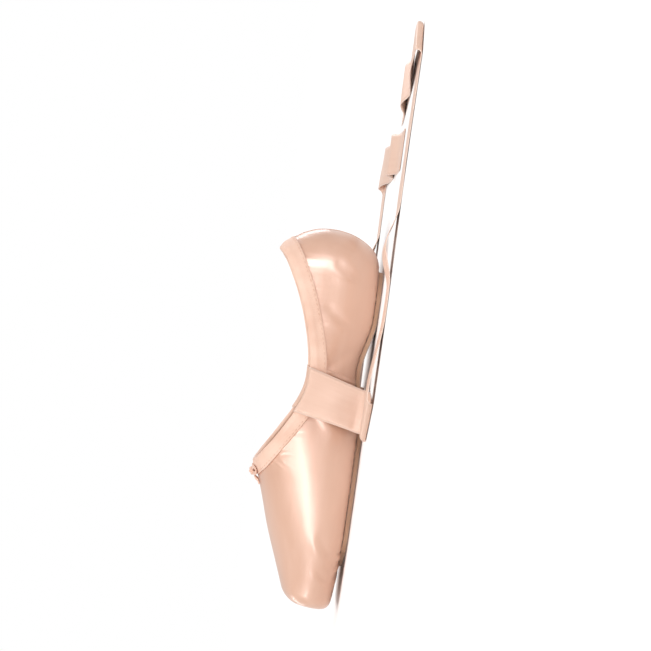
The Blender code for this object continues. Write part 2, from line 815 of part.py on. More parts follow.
def ribbon_rows(side):
    # Rows of points across the ribbon's middle surface, from its sewn end to its free end.
    shares = (-1, -1 / 3, 1 / 3, 1)
    half = RIBBON_WIDTH / 2
    h = RIBBON_WIDTH / 12

    def edge_at(s):
        return skin(s, 0.0, collar_height(s))

    edge = edge_at(RIBBON_AT)
    along = edge_at(RIBBON_AT + h) - edge_at(RIBBON_AT - h)
    along = along / np.linalg.norm(along)
    out = np.cross(along, edge - skin(RIBBON_AT, 0.0, collar_height(RIBBON_AT) - h))
    out = out / np.linalg.norm(out)
    up = np.cross(out, along)
    layers = QUARTER_WALL + BINDING_EASE + 2 * BINDING_THICKNESS + 6 * GAP + RIBBON_THICKNESS
    radius = layers / 2
    top = edge - out * (QUARTER_WALL + BINDING_EASE) / 2 + up * (radius + BINDING_THICKNESS)
    quarter = math.pi / 2 * radius
    inside = walk(top, -out, along, [(quarter, -math.pi / 2, 0.0), (RIBBON_TUCK, 0.0, 0.0)])
    outside = walk(top, out, along, [(quarter, math.pi / 2, 0.0)])
    place, ahead, across = outside[-1]
    face = np.cross(ahead, across)
    level = np.cross(face, [0, 0, 1.0])
    level = level / np.linalg.norm(level)
    skew = math.atan2(level @ ahead, level @ across)
    if abs(skew) > math.pi / 2:
        skew -= math.copysign(math.pi, skew)
    angle = math.pi / 2 - math.asin(abs(face[2]))
    floor = RIBBON_THICKNESS / 2 + RIBBON_OFF_FLOOR
    drop = place[2] - floor - RIBBON_LAND * (1 - math.cos(angle))
    steps = [(drop / -ahead[2] / RIBBON_HANG, 0.0, 0.0)] * RIBBON_HANG
    steps.append((RIBBON_LAND * angle / math.cos(skew), -angle, skew))
    hanging = walk(place, ahead, across, steps)[1:]
    # Each frame says how closely it follows the collar's curve across the ribbon's width.
    frames = [(frame, 1.0) for frame in inside[::-1][:-1] + outside]
    frames += [(frame, max(1 - (k + 1) / RIBBON_HANG, 0.0)) for k, frame in enumerate(hanging)]
    sag = [edge_at(RIBBON_AT + u * half) - edge - along * half * u for u in shares]
    rows = []
    for (place, _, across), follow in frames:
        rows.append([place + across * half * u + sag[k] * follow for k, u in enumerate(shares)])
    place, ahead, across = hanging[-1]
    lie = RIBBON_LIE[side]
    for at, slant in run_rows(lie)[1:]:
        row = []
        for u in shares:
            x, y, z = run_point(lie, at + slant * u * half, u * half)
            row.append(place + ahead * x + across * y + np.array([0, 0, z]))
        rows.append(row)
    return rows


def build_ribbon(side, sign):
    rows = ribbon_rows(side)
    points = [(sign * x, y, z) for row in rows for x, y, z in row]
    faces = grid_faces(len(rows), len(rows[0]))
    thing = new_object(f"ribbon_{side}", points, faces, "ribbon", 0.4)
    solid = thing.modifiers.new("cloth", "SOLIDIFY")
    solid.thickness = RIBBON_THICKNESS
    solid.offset = 0
    solid.use_even_offset = True
    thing.data.shade_smooth()
    return thing


clear_scene()
build_upper()
build_outsole()
build_insole()
build_binding()
build_bow()
build_ribbon("left", 1)
build_ribbon("right", -1)
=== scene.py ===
import math
from functools import lru_cache

import bmesh
import bpy
import numpy as np
from mathutils import Matrix, Vector, noise


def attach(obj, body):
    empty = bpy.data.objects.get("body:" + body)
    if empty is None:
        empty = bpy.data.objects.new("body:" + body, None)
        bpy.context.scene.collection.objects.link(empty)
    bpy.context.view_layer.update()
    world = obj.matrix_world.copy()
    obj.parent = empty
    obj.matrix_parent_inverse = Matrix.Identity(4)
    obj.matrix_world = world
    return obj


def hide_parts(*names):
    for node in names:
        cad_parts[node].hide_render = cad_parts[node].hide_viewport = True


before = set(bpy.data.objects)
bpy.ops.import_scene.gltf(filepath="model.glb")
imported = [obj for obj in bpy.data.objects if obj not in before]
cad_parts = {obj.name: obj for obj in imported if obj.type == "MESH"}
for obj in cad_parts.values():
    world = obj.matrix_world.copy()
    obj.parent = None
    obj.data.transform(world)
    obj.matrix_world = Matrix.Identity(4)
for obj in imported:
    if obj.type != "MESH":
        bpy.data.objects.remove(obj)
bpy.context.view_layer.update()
print("frame loaded")

# Sizes of the last, as the CAD has them: metres, +Z up, toe towards -Y
shoe = dict(
    length=0.225, ballWidth=0.084, vampLength=0.082, throatHeight=0.061, heelHeight=0.0625,
    collarLow=0.035, collarLowAt=0.135, collarBend=0.35,
    platformLean=math.radians(7.3), platformRound=0.0065, platformEdge=0.0048, toeSpring=0.0018,
    heelAt=0.186, heelBelly=0.034, heelDome=0.0365, heelOverhang=0.0215, heelBlend=0.065,
    boxWall=0.0028, quarterWall=0.0016, gap=0.0003,
    soleThickness=0.003, soleBevel=0.001, soleToeAt=0.026, soleWidth=0.057, soleNose=0.62,
    soleMargin=0.0015, turnedEdge=0.006, holeNose=1.2,
    archRise=0.0055, archLength=0.066, archTo=0.176,
    insoleThickness=0.002, insoleToeAt=0.022,
    seamAt=0.1365, seamLean=0.24, seamLeanReach=0.040, seamWidth=0.0026,
)

# Cross-sections, as shares of the sizes above; at is 0 at the platform, 1 at the throat and 2 where the heel
# starts to turn
sectionColumns = ("at", "width", "belly", "top", "sole", "full")
sectionRows = [
    (0.000, 0.690, 0.300, 0.530, 0.36, 0.22),
    (0.124, 0.735, 0.300, 0.595, 0.44, 0.22),
    (0.274, 0.815, 0.305, 0.672, 0.62, 0.20),
    (0.494, 0.930, 0.325, 0.782, 0.92, 0.17),
    (0.713, 0.985, 0.345, 0.872, 1.00, 0.14),
    (0.919, 1.000, 0.360, 0.958, 1.00, 0.11),
    (1.000, 0.997, 0.368, 1.000, 0.98, 0.10),
    (1.185, 0.955, 0.385, 1.150, 0.84, 0.06),
    (1.423, 0.845, 0.410, 1.390, 0.60, 0.03),
    (1.639, 0.760, 0.425, 1.490, 0.54, 0.00),
    (1.834, 0.735, 0.430, 1.430, 0.62, 0.00),
    (2.000, 0.735, 0.430, 1.360, 0.67, 0.00),
]


def stationOf(share):
    behind = max(share - 1, 0.0)
    return min(share, 1.0) * shoe["vampLength"] + behind * (shoe["heelAt"] - shoe["vampLength"])


sectionAt = [stationOf(row[0]) for row in sectionRows]


def ease(x):
    x = min(max(x, 0.0), 1.0)
    return x * x * (3 - 2 * x)


def easeAll(x):
    x = np.clip(x, 0.0, 1.0)
    return x * x * (3 - 2 * x)


def unit(vector):
    return vector / np.linalg.norm(vector)


def spread(first, last, count, power=1.0):
    return [first + (last - first) * (k / count) ** power for k in range(count + 1)]


def columnOf(name, s):
    # A smooth curve through one column of the sections
    n = sectionColumns.index(name)
    value = [row[n] for row in sectionRows]
    top = len(sectionAt) - 1
    s = min(max(s, sectionAt[0]), sectionAt[-1])
    k = min(max(int(np.searchsorted(sectionAt, s)) - 1, 0), top - 1)
    slope = []
    for i in (k, k + 1):
        high, low = min(i + 1, top), max(i - 1, 0)
        slope.append((value[high] - value[low]) / (sectionAt[high] - sectionAt[low]))
    step = sectionAt[k + 1] - sectionAt[k]
    t = (s - sectionAt[k]) / step
    return (
        (1 + 2 * t) * (1 - t) ** 2 * value[k] + t * (1 - t) ** 2 * step * slope[0]
        + t * t * (3 - 2 * t) * value[k + 1] - t * t * (1 - t) * step * slope[1]
    )


def archRise(s):
    share = (shoe["archTo"] - s) / shoe["archLength"]
    return shoe["archRise"] * math.sin(math.pi * share) ** 2 if 0 < share < 1 else 0.0


def underside(s):
    spring = shoe["toeSpring"] * max(0.0, 1 - s / (2 * shoe["soleToeAt"])) ** 2
    return shoe["soleThickness"] + shoe["gap"] + spring + archRise(s)


@lru_cache(maxsize=None)
def section(s):
    base = underside(s)
    return dict(
        width=columnOf("width", s) * shoe["ballWidth"] / 2,
        foot=columnOf("sole", s) * shoe["soleWidth"] / 2 + shoe["soleMargin"],
        base=base,
        belly=base + columnOf("belly", s) * shoe["throatHeight"] - shoe["soleThickness"],
        top=columnOf("top", s) * shoe["throatHeight"],
        full=columnOf("full", s),
    )


def reachAt(cut, z):
    if z < cut["belly"]:
        down = min((cut["belly"] - z) / (cut["belly"] - cut["base"]), 1.0)
        return cut["foot"] + (cut["width"] - cut["foot"]) * math.sqrt(1 - down**2)
    up = min((z - cut["belly"]) / (cut["top"] - cut["belly"]), 1.0)
    return cut["width"] * math.sqrt(1 - up**2) * (1 + cut["full"] * up**2)


def soleEnd():
    return shoe["length"] - shoe["heelOverhang"]


def backReach(z):
    low = underside(shoe["heelAt"])
    flat = soleEnd() + shoe["soleMargin"]
    if z < shoe["heelBelly"]:
        down = min((shoe["heelBelly"] - z) / (shoe["heelBelly"] - low), 1.0)
        return flat + (shoe["length"] - flat) * math.sqrt(1 - down**2)
    up = (z - shoe["heelBelly"]) / shoe["heelDome"]
    return shoe["length"] - (shoe["length"] - shoe["heelAt"]) * (1 - math.sqrt(max(1 - up**2, 0.0)))


def heelCentre(z):
    return backReach(z) - reachAt(section(shoe["heelAt"]), z)


def drawnBack(s):
    at = shoe["heelAt"]
    return (heelCentre(underside(at)) - at) * ease(1 - (at - s) / shoe["heelBlend"])


def collarHeight(s):
    lowAt, low = shoe["collarLowAt"], shoe["collarLow"]
    if s < lowAt:
        u = (lowAt - s) / (lowAt - shoe["vampLength"])
        rise = shoe["throatHeight"] - low
    else:
        u = min((s - lowAt) / (backReach(shoe["heelHeight"]) - lowAt), 1.0)
        rise = shoe["heelHeight"] - low
    bend = shoe["collarBend"]
    return low + rise * (math.hypot(u, bend) - bend) / (math.hypot(1, bend) - bend)


def collarRound(turn):
    low = collarHeight(shoe["heelAt"])
    return low + (shoe["heelHeight"] - low) * math.sin(turn)


def placeOn(s, turn, z):
    cut = section(s)
    x = reachAt(cut, z)
    if s < shoe["heelAt"]:
        lean = math.tan(shoe["platformLean"]) * (z - cut["base"]) * max(0.0, 1 - s / shoe["vampLength"])
        pull = ease(1 - (shoe["heelAt"] - s) / shoe["heelBlend"])
        shift = (heelCentre(z) - shoe["heelAt"]) * pull if pull else 0.0
        return np.array([x, s + lean + shift, z])
    return np.array([x * math.cos(turn), heelCentre(z) + x * math.sin(turn), z])


def skin(s, turn, z, out=0.0):
    point = placeOn(s, turn, z)
    if not out:
        return point
    nudge = 0.0004
    if s < shoe["heelAt"] - nudge:
        along = placeOn(s + nudge, turn, z) - placeOn(s - nudge, turn, z)
    else:
        at = shoe["heelAt"]
        along = placeOn(at, turn + 0.02, z) - placeOn(at, max(turn - 0.02, 0.0), z)
    cut = section(s)
    low = max(z - nudge, cut["base"] + 1e-6)
    high = min(z + nudge, cut["top"] - 1e-6) if s < shoe["vampLength"] else z + nudge
    n = np.cross(along, placeOn(s, turn, high) - placeOn(s, turn, low))
    return point + out * n / np.linalg.norm(n)


def wallAt(s):
    thin = shoe["vampLength"] - 1.5 * tape["width"]
    box, quarter = shoe["boxWall"], shoe["quarterWall"]
    return quarter + (box - quarter) * ease((thin - s) / (thin / 2))


def holeHalf(s):
    start = shoe["soleToeAt"] + shoe["turnedEdge"]
    if s <= start:
        return 0.0
    wide = section(s)["foot"] - shoe["soleMargin"] - shoe["turnedEdge"]
    return wide * math.sqrt(min((s - start) / (shoe["holeNose"] * wide), 1.0))


def columnLean(s):
    return shoe["seamLean"] * ease(1 - abs(s - shoe["seamAt"]) / shoe["seamLeanReach"])


def columnTop(s):
    cut = section(s)
    if s <= shoe["vampLength"]:
        return cut["top"]
    top = collarHeight(s)
    for _ in range(4):
        top = collarHeight(s + columnLean(s) * (top - cut["base"]))
    return top


def rounded(share):
    return math.sqrt(max(1 - (1 - min(share, 1.0)) ** 2, 0.0))


# One socket of a material; arithmetic on it adds Math nodes
class Wire:
    def __init__(self, tree, socket=None):
        self.tree = tree
        self.socket = socket

    def add(self, kind, settings=None, sockets=None, out=0):
        node = self.tree.nodes.new(kind)
        for name, value in (settings or {}).items():
            if name == "stops":
                for element, (at, grey) in zip(node.color_ramp.elements, value):
                    element.position = at
                    element.color = (grey, grey, grey, 1)
            else:
                setattr(node, name, value)
        for key, value in (sockets or {}).items():
            if isinstance(value, Wire):
                self.tree.links.new(value.socket, node.inputs[key])
            else:
                node.inputs[key].default_value = value
        return Wire(self.tree, node.outputs[out])

    def calc(self, operation, a, b=0.0, c=0.0):
        return self.add("ShaderNodeMath", dict(operation=operation), {0: a, 1: b, 2: c})

    def __add__(self, other): return self.calc("ADD", self, other)
    def __radd__(self, other): return self.calc("ADD", other, self)
    def __sub__(self, other): return self.calc("SUBTRACT", self, other)
    def __rsub__(self, other): return self.calc("SUBTRACT", other, self)
    def __mul__(self, other): return self.calc("MULTIPLY", self, other)
    def __rmul__(self, other): return self.calc("MULTIPLY", other, self)
    def __truediv__(self, other): return self.calc("DIVIDE", self, other)
    def __rtruediv__(self, other): return self.calc("DIVIDE", other, self)
    def __abs__(self): return self.calc("ABSOLUTE", self)


def mixColors(share, first, second):
    # share is a Wire; the colours are Wires or triples
    def full(color):
        return color if isinstance(color, Wire) else (*color, 1)
    sockets = {0: share, 6: full(first), 7: full(second)}
    return share.add("ShaderNodeMix", dict(data_type="RGBA"), sockets, out=2)


def fromScreen(r, g, b):
    # A colour as seen on a screen, 0 to 255, for a shader
    def one(v):
        v = v / 255
        return v / 12.92 if v <= 0.04045 else ((v + 0.055) / 1.055) ** 2.4
    return (one(r), one(g), one(b))


def newMaterial(name, fixed):
    # fixed holds the numbers that are the same all over the surface
    material = bpy.data.materials.new(name)
    material.use_nodes = True
    tree = material.node_tree
    shader = tree.nodes["Principled BSDF"]
    for key, value in fixed.items():
        shader.inputs[key].default_value = value
    return material, shader, Wire(tree)


def plug(shader, wire, tone, rough, height, strength, distance):
    # The bump is strength of distance, in metres, where height goes from 0 to 1
    bump = wire.add("ShaderNodeBump", {}, {"Height": height, "Strength": strength, "Distance": distance})
    for key, value in (("Base Color", tone), ("Roughness", rough), ("Normal", bump)):
        wire.tree.links.new(value.socket, shader.inputs[key])


def scaled(wire, vector, scale):
    return wire.add("ShaderNodeVectorMath", dict(operation="MULTIPLY"), {0: vector, 1: scale})


def shapedPlace(wire, scale):
    # Object coordinates stretched by three factors
    return scaled(wire, wire.add("ShaderNodeTexCoord", out=3), scale)


def axesOf(wire, vector):
    first = wire.add("ShaderNodeSeparateXYZ", {}, {0: vector})
    return [Wire(wire.tree, socket) for socket in first.socket.node.outputs]


def cloudsOn(wire, place, size, detail=2.0, rough=0.5):
    return wire.add(
        "ShaderNodeTexNoise", {}, {"Vector": place, "Scale": size, "Detail": detail, "Roughness": rough}
    )


def cloudy(wire, scale, size, detail=2.0, rough=0.5):
    return cloudsOn(wire, shapedPlace(wire, scale), size, detail, rough)


def stretched(wire, low, high):
    # 0 where the wire is under low, 1 where it is over high
    return wire.add("ShaderNodeValToRGB", dict(stops=[(low, 0.0), (high, 1.0)]), {0: wire})


satin = dict(
    body=fromScreen(221, 175, 149), deep=fromScreen(210, 160, 132), pale=fromScreen(236, 199, 179),
    rough=0.325, metal=0.10, coat=0.22, gloss=0.95, sheen=0.06,
    threads=1500.0, slub=0.12, streak=0.30, streakSize=210.0, bump=0.07,
)
tape = dict(
    width=0.0085, inside=0.0070, thickness=0.0009, ease=0.0002, reach=0.024,
    collarColumns=60, backColumns=36, heelColumns=30,
    stitch=0.0019, stitchStep=0.0029, stitchThick=0.00038, stitchDown=0.0072,
    pressed=0.82,    # the share of the thickness that shows over the satin
    cordDown=0.0026, cordHigh=0.00045, cordWide=0.0014, dent=0.00022, dentWide=0.0006,
    wave=0.00020, waveSize=(150, 150, 40), wrinkle=0.00009, wrinkleSize=(420, 420, 90),
    color=fromScreen(243, 207, 186), shade=fromScreen(233, 191, 168), rough=0.62, threads=7000.0, bump=0.18,
)
lining = dict(
    color=fromScreen(238, 214, 198), shade=fromScreen(231, 205, 187), rough=0.85, threads=5200.0, bump=0.25,
)
leather = dict(
    color=fromScreen(226, 205, 194), shade=fromScreen(212, 188, 174), edge=fromScreen(228, 188, 156),
    rough=0.72, grain=1500.0, nap=1100.0, bump=0.25,
)


def makeSatin(name, look, strip=False):
    # A strip, such as a ribbon, has its own threads and edges; the others' threads run along the shoe
    material, shader, wire = newMaterial(name, {
        "Sheen Weight": look["sheen"], "Sheen Roughness": 0.35, "Specular IOR Level": look["gloss"],
        "Metallic": look["metal"], "Coat Weight": look["coat"], "Coat Roughness": 0.30, "Anisotropic": 0.35,
    })
    broad = cloudy(wire, (1.0, 0.7, 1.0), 26.0)
    if strip:
        own = wire.add("ShaderNodeAttribute", dict(attribute_name="strip"), out=1)
        drawnOut = scaled(wire, own, (1.0, 0.08, 1.0))
        streak = cloudsOn(wire, drawnOut, look["streakSize"])
        threads = cloudsOn(wire, drawnOut, look["threads"])
        fromEdge = look["width"] / 2 - abs(axesOf(wire, own)[0])
        selvage = fromEdge.calc("SMOOTH_MIN", fromEdge / look["selvage"], 1.0, 0.3)
    else:
        drawnOut = (1.0, 0.12, 1.0)
        streak = cloudy(wire, drawnOut, look["streakSize"], 2.5, 0.55)
        threads = cloudy(wire, drawnOut, look["threads"])
    tone = mixColors(stretched(broad, 0.3, 0.7), look["deep"], look["body"])
    tone = mixColors(streak * look["streak"], tone, look["pale"])
    rough = look["rough"] + (broad - 0.5) * 0.04 + (streak - 0.5) * 0.08
    height = threads * 0.35 + streak * look["slub"]
    if strip:
        tone = mixColors(1.0 - selvage, tone, look["edge"])
        height = height + selvage * -1.5
    plug(shader, wire, tone, rough, height, look["bump"], 0.0004)
    return material


def makeWoven(name, look):
    # Plain cloth: two sets of threads
    material, shader, wire = newMaterial(name, {"Sheen Weight": 0.2, "Specular IOR Level": 0.3})
    x, y, z = axesOf(wire, shapedPlace(wire, (look["threads"],) * 3))
    ripple = x.calc("SINE", y + x) + x.calc("SINE", z * 1.1 - x)
    broad = cloudy(wire, (1.0, 1.0, 1.0), 60.0, 3.0)
    fuzz = cloudy(wire, (1.0, 1.0, 1.0), 900.0)
    tone = mixColors(stretched(broad, 0.35, 0.65), look["shade"], look["color"])
    rough = look["rough"] + (fuzz - 0.5) * 0.15
    plug(shader, wire, tone, rough, ripple * 0.25 + fuzz * 0.5, look["bump"], 0.0003)
    return material


def makeLeather(name, look):
    material, shader, wire = newMaterial(name, {"Specular IOR Level": 0.35, "Sheen Weight": 0.1})
    broad = cloudy(wire, (1.0, 0.6, 1.0), 45.0, 4.0, 0.6)
    place = shapedPlace(wire, (1.0, 1.0, 1.0))
    grain = wire.add(
        "ShaderNodeTexVoronoi", dict(feature="DISTANCE_TO_EDGE"), {"Vector": place, "Scale": look["grain"]}
    )
    nap = cloudy(wire, (1.0, 1.0, 1.0), look["nap"], 3.0, 0.7)
    tone = mixColors(stretched(broad, 0.3, 0.75), look["shade"], look["color"])
    upDown = axesOf(wire, wire.add("ShaderNodeNewGeometry", out=1))[2]
    tone = mixColors(stretched(1.0 - abs(upDown), 0.45, 0.75), tone, look["edge"])
    plug(shader, wire, tone, look["rough"] + (nap - 0.5) * 0.2, grain * 0.4 + nap, look["bump"], 0.0003)
    return material


satinCloth = makeSatin("shoe satin", satin)
liningCloth = makeWoven("cotton lining", lining)
tapeCloth = makeWoven("bias tape", tape)
soleLeather = makeLeather("sole leather", leather)
print("materials made")


def centred(points):
    points = np.array(points, float)
    points[:, 1] -= shoe["length"] / 2
    return points


def gridFaces(columns, rows):
    faces = []
    for j in range(columns - 1):
        for i in range(rows - 1):
            a = j * rows + i
            faces.append((a, a + rows, a + rows + 1, a + 1))
    return faces


def tubeFaces(start, rings, around):
    # The sides and both ends of a tube whose rings of points follow one another
    faces = []
    for k in range(rings - 1):
        for n in range(around):
            a, b = start + k * around + n, start + k * around + (n + 1) % around
            faces.append((a, b, b + around, a + around))
    last = start + (rings - 1) * around
    return faces + [tuple(range(start, start + around))[::-1], tuple(range(last, last + around))]


def addObject(name, data):
    thing = bpy.data.objects.new(name, data)
    bpy.context.scene.collection.objects.link(thing)
    return thing


def dressMesh(name, mesh, material, slotName, *nodes):
    piece = addObject(name, mesh)
    mesh.materials.append(material)
    mesh.shade_smooth()
    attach(piece, "root")
    if nodes:
        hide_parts(*nodes)
    return piece


def newPiece(name, points, faces, material, slotName, *nodes):
    mesh = bpy.data.meshes.new(name)
    mesh.from_pydata([tuple(p) for p in points], [], faces)
    return dressMesh(name, mesh, material, slotName, *nodes)


def mirrorAndWeld(piece):
    work = bmesh.new()
    work.from_mesh(piece.data)
    bmesh.ops.remove_doubles(work, verts=work.verts, dist=1e-6)
    both = bmesh.ops.duplicate(work, geom=work.verts[:] + work.edges[:] + work.faces[:])
    for vert in both["geom"]:
        if isinstance(vert, bmesh.types.BMVert):
            vert.co.x = -vert.co.x
    bmesh.ops.reverse_faces(work, faces=[g for g in both["geom"] if isinstance(g, bmesh.types.BMFace)])
    bmesh.ops.remove_doubles(work, verts=work.verts, dist=1e-6)
    bmesh.ops.dissolve_degenerate(work, edges=work.edges, dist=1e-7)
    work.to_mesh(piece.data)
    work.free()
    faceOutward(piece)


def faceOutward(piece):
    work = bmesh.new()
    work.from_mesh(piece.data)
    bmesh.ops.recalc_face_normals(work, faces=work.faces)
    work.to_mesh(piece.data)
    work.free()
    piece.data.shade_smooth()


# Upper: one shell, satin outside and on its edges, lining inside
upperLook = dict(
    flatRows=18, lowRows=16, highRows=36, toeColumns=30, vampColumns=36, collarColumns=52,
    backColumns=34, heelColumns=34, seamFine=0.0003, faceRings=10, edgeRings=8,
    backBand=6.0, backBandColumns=12,    # degrees
    pleats=11, pleatHigh=0.0011, pleatCentre=0.040, pleatTip=0.78, pleatTop=0.018, pleatFade=0.012,
    pleatDrift=0.35, pleatSunk=0.35, creaseArc=0.0012,
    pucker=0.00016, puckerStep=0.0040, puckerDrift=0.0012, puckerReach=0.006,
    hemPucker=0.00028, hemStep=0.0055, hemTop=0.0125, hemFade=0.009, hemFrom=0.030,
    seamRaise=0.0004, seamSoft=0.0005, seamGroove=0.00018, grooveOut=0.0004, grooveWide=0.00035,
    backSeam=0.0034,
    soft=0.00050, softSize=30.0, fine=0.00016, fineSize=(120, 55, 120), boxShare=0.35,
)
# Creases of the sides: from and to (along the shoe and up), how deep, how wide, and the share of the depth
# that the right side has
creases = [
    ((0.156, 0.013), (0.141, 0.031), 0.00082, 0.0026, 0.7),
    ((0.168, 0.014), (0.180, 0.033), 0.00060, 0.0030, 1.0),
    ((0.116, 0.036), (0.100, 0.020), 0.00060, 0.0034, 0.8),
    ((0.126, 0.012), (0.118, 0.027), 0.00068, 0.0028, 1.1),
    ((0.104, 0.008), (0.088, 0.019), 0.00052, 0.0030, 0.6),
    ((0.197, 0.014), (0.206, 0.030), 0.00045, 0.0032, 1.0),
    ((0.150, 0.040), (0.168, 0.036), 0.00045, 0.0034, 0.9),
    ((0.030, 0.007), (0.048, 0.018), 0.00075, 0.0028, 0.6),
    ((0.018, 0.008), (0.026, 0.016), 0.00052, 0.0022, 1.2),
]


def upperColumn(s, turn=0.0, leaning=True):
    cut = section(s)
    inFront = s < shoe["heelAt"]
    lean = columnLean(s) if inFront else 0.0
    top = columnTop(s) if inFront else collarRound(turn)
    points = []
    half, base = holeHalf(s), cut["base"]
    for out in spread(half, cut["foot"], upperLook["flatRows"]):
        if inFront:
            at = s + drawnBack(s)
            points.append((out, at, underside(at)))
        else:
            centre = heelCentre(base)
            points.append((out * math.cos(turn), centre + out * math.sin(turn), base))
    belly = cut["belly"] + (shoe["heelBelly"] - cut["belly"]) * math.sin(turn) ** 2
    crown = cut["top"] + (shoe["heelBelly"] + shoe["heelDome"] - cut["top"]) * math.sin(turn) ** 2
    heights = []
    for k in range(1, upperLook["lowRows"] + 1):
        heights.append(belly - (belly - base) * math.cos(math.pi / 2 * k / upperLook["lowRows"]))
    end = math.asin(min((top - belly) / (crown - belly), 1.0))
    for k in range(1, upperLook["highRows"] + 1):
        heights.append(belly + (crown - belly) * math.sin(end * k / upperLook["highRows"]))
    for z in heights:
        if leaning:
            points.append(tuple(skin(s + lean * (z - base), turn, z)))
        else:
            points.append((reachAt(cut, z), s, z))
    if s <= shoe["vampLength"]:
        points[-1] = (0.0, points[-1][1], points[-1][2])
    if turn > math.pi / 2 - 1e-6:
        points = [(0.0, y, z) for _, y, z in points]
    return points


def platformRing(scale, inset, depth):
    s = depth * shoe["platformRound"]
    cut = section(s)
    middle = (cut["base"] + cut["top"]) / 2
    tall = (cut["top"] - cut["base"]) / 2
    points = []
    for x, _, z in upperColumn(s, leaning=False):
        xIn = x * (1 - inset * shoe["platformRound"] / cut["width"]) * scale
        zIn = middle + (z - middle) * (1 - inset * shoe["platformEdge"] / tall) * scale
        lean = math.tan(shoe["platformLean"]) * (zIn - cut["base"]) * (1 - s / shoe["vampLength"])
        points.append((xIn, s + lean, zIn))
    return points


def seamStations(before, after):
    # Stations from the throat to where the heel starts to turn, close together across the side seam
    first, last, power = shoe["vampLength"], shoe["heelAt"] - 0.0005, 1.6
    at, half = shoe["seamAt"], shoe["seamWidth"] / 2 + 0.0012
    fine = int(round(2 * half / upperLook["seamFine"]))
    stations = spread(first, at - half, before, power)
    stations += spread(at - half, at + half, fine)[1:]
    return stations + spread(at + half, last, after)[1:]


def heelTurns(count):
    # Round the heel, closer together beside the back seam
    band = math.radians(upperLook["backBand"])
    turns = spread(0.0, math.pi / 2 - band, count)[1:]
    return turns + spread(math.pi / 2 - band, math.pi / 2, upperLook["backBandColumns"])[1:]


def buildUpper():
    columns = [platformRing(share, 1.0, 0.0) for share in spread(0.0, 1.0, upperLook["faceRings"])]
    for angle in spread(0.0, math.pi / 2, upperLook["edgeRings"])[1:]:
        columns.append(platformRing(1.0, 1 - math.sin(angle), 1 - math.cos(angle)))
    start = shoe["soleToeAt"] + shoe["turnedEdge"]
    stations = spread(shoe["platformRound"], start, upperLook["toeColumns"])[1:]
    stations += spread(start, shoe["vampLength"], upperLook["vampColumns"], 1.2)[1:]
    stations += seamStations(upperLook["collarColumns"], upperLook["backColumns"])[1:]
    columns += [upperColumn(s) for s in stations]
    columns += [upperColumn(shoe["heelAt"], turn) for turn in heelTurns(upperLook["heelColumns"])]
    rows = len(columns[0])
    points = centred([p for one in columns for p in one])
    piece = newPiece("satinUpper", points, gridFaces(len(columns), rows), satinCloth, "satin", "upper")
    mirrorAndWeld(piece)
    lined = liningPoints(piece.data)
    shapeUpper(piece)
    closeWall(piece, lined)


def meshArrays(mesh):
    place = np.empty(len(mesh.vertices) * 3)
    facing = np.empty(len(mesh.vertices) * 3)
    mesh.vertices.foreach_get("co", place)
    mesh.vertices.foreach_get("normal", facing)
    return place.reshape(-1, 3), facing.reshape(-1, 3)


def liningPoints(mesh):
    # The wall's inner side, taken before the satin is creased, so that the lining stays smooth
    place, facing = meshArrays(mesh)
    wall = np.array([wallAt(y + shoe["length"] / 2) for y in place[:, 1]])
    return place - facing * wall[:, None]


def closeWall(piece, lined):
    mesh = piece.data
    outer, _ = meshArrays(mesh)
    count = len(outer)
    skinFaces = [tuple(face.vertices) for face in mesh.polygons]
    edges = {(face[k - 1], face[k]) for face in skinFaces for k in range(len(face))}
    rim = [(b, a, a + count, b + count) for a, b in edges if (b, a) not in edges]
    rim.sort()
    inner = [tuple(v + count for v in face[::-1]) for face in skinFaces]
    mesh.clear_geometry()
    mesh.from_pydata(np.concatenate([outer, lined]).tolist(), [], skinFaces + inner + rim)
    mesh.materials.append(liningCloth)
    finish = [0] * len(skinFaces) + [1] * len(inner) + [0] * len(rim)
    mesh.polygons.foreach_set("material_index", finish)
    mesh.update()
    mesh.shade_smooth()


def wander(values, size, row):
    return np.array([noise.noise(Vector((value * size, 0.0, row))) for value in values])


def noiseAt(point, size):
    return noise.noise(Vector([a * b for a, b in zip(point, size)]))


def pleats(x, s, z):
    # Under the toe, in rays round one place
    centre, tip = upperLook["pleatCentre"], upperLook["pleatTip"]
    ahead = centre - s
    angle, far = np.arctan2(x, ahead), np.hypot(x, ahead)
    cycle = angle * upperLook["pleats"] / math.pi + wander(angle, 2.3, 4.1) * upperLook["pleatDrift"] + 100.0
    share = cycle - np.floor(cycle)
    fold = np.where(share < tip, share / tip, (1 - share) / (1 - tip))
    low = easeAll((upperLook["pleatTop"] - z) / upperLook["pleatFade"])
    near = easeAll((centre + 0.002 - far) / 0.020) * easeAll((ahead + 0.004) / 0.010)
    return upperLook["pleatHigh"] * (easeAll(fold) - upperLook["pleatSunk"]) * low * near


def seams(x, s, z):
    # A raised band with a groove at each edge, down each side and down the back
    look = upperLook

    def relief(off, half):
        band = easeAll((half + 0.0002 - off) / look["seamSoft"])
        groove = np.exp(-(((off - half - look["grooveOut"]) / look["grooveWide"]) ** 2))
        return look["seamRaise"] * band - look["seamGroove"] * groove

    fromSide = np.abs(s - shoe["seamAt"] - shoe["seamLean"] * (z - underside(shoe["seamAt"])))
    aboveSole = easeAll((z - 0.0045) / 0.003)
    side = (np.abs(x) > 0.015) * relief(fromSide, shoe["seamWidth"] / 2)
    back = (s > shoe["heelAt"]) * relief(np.abs(x), look["backSeam"] / 2)
    return aboveSole * (side + back)


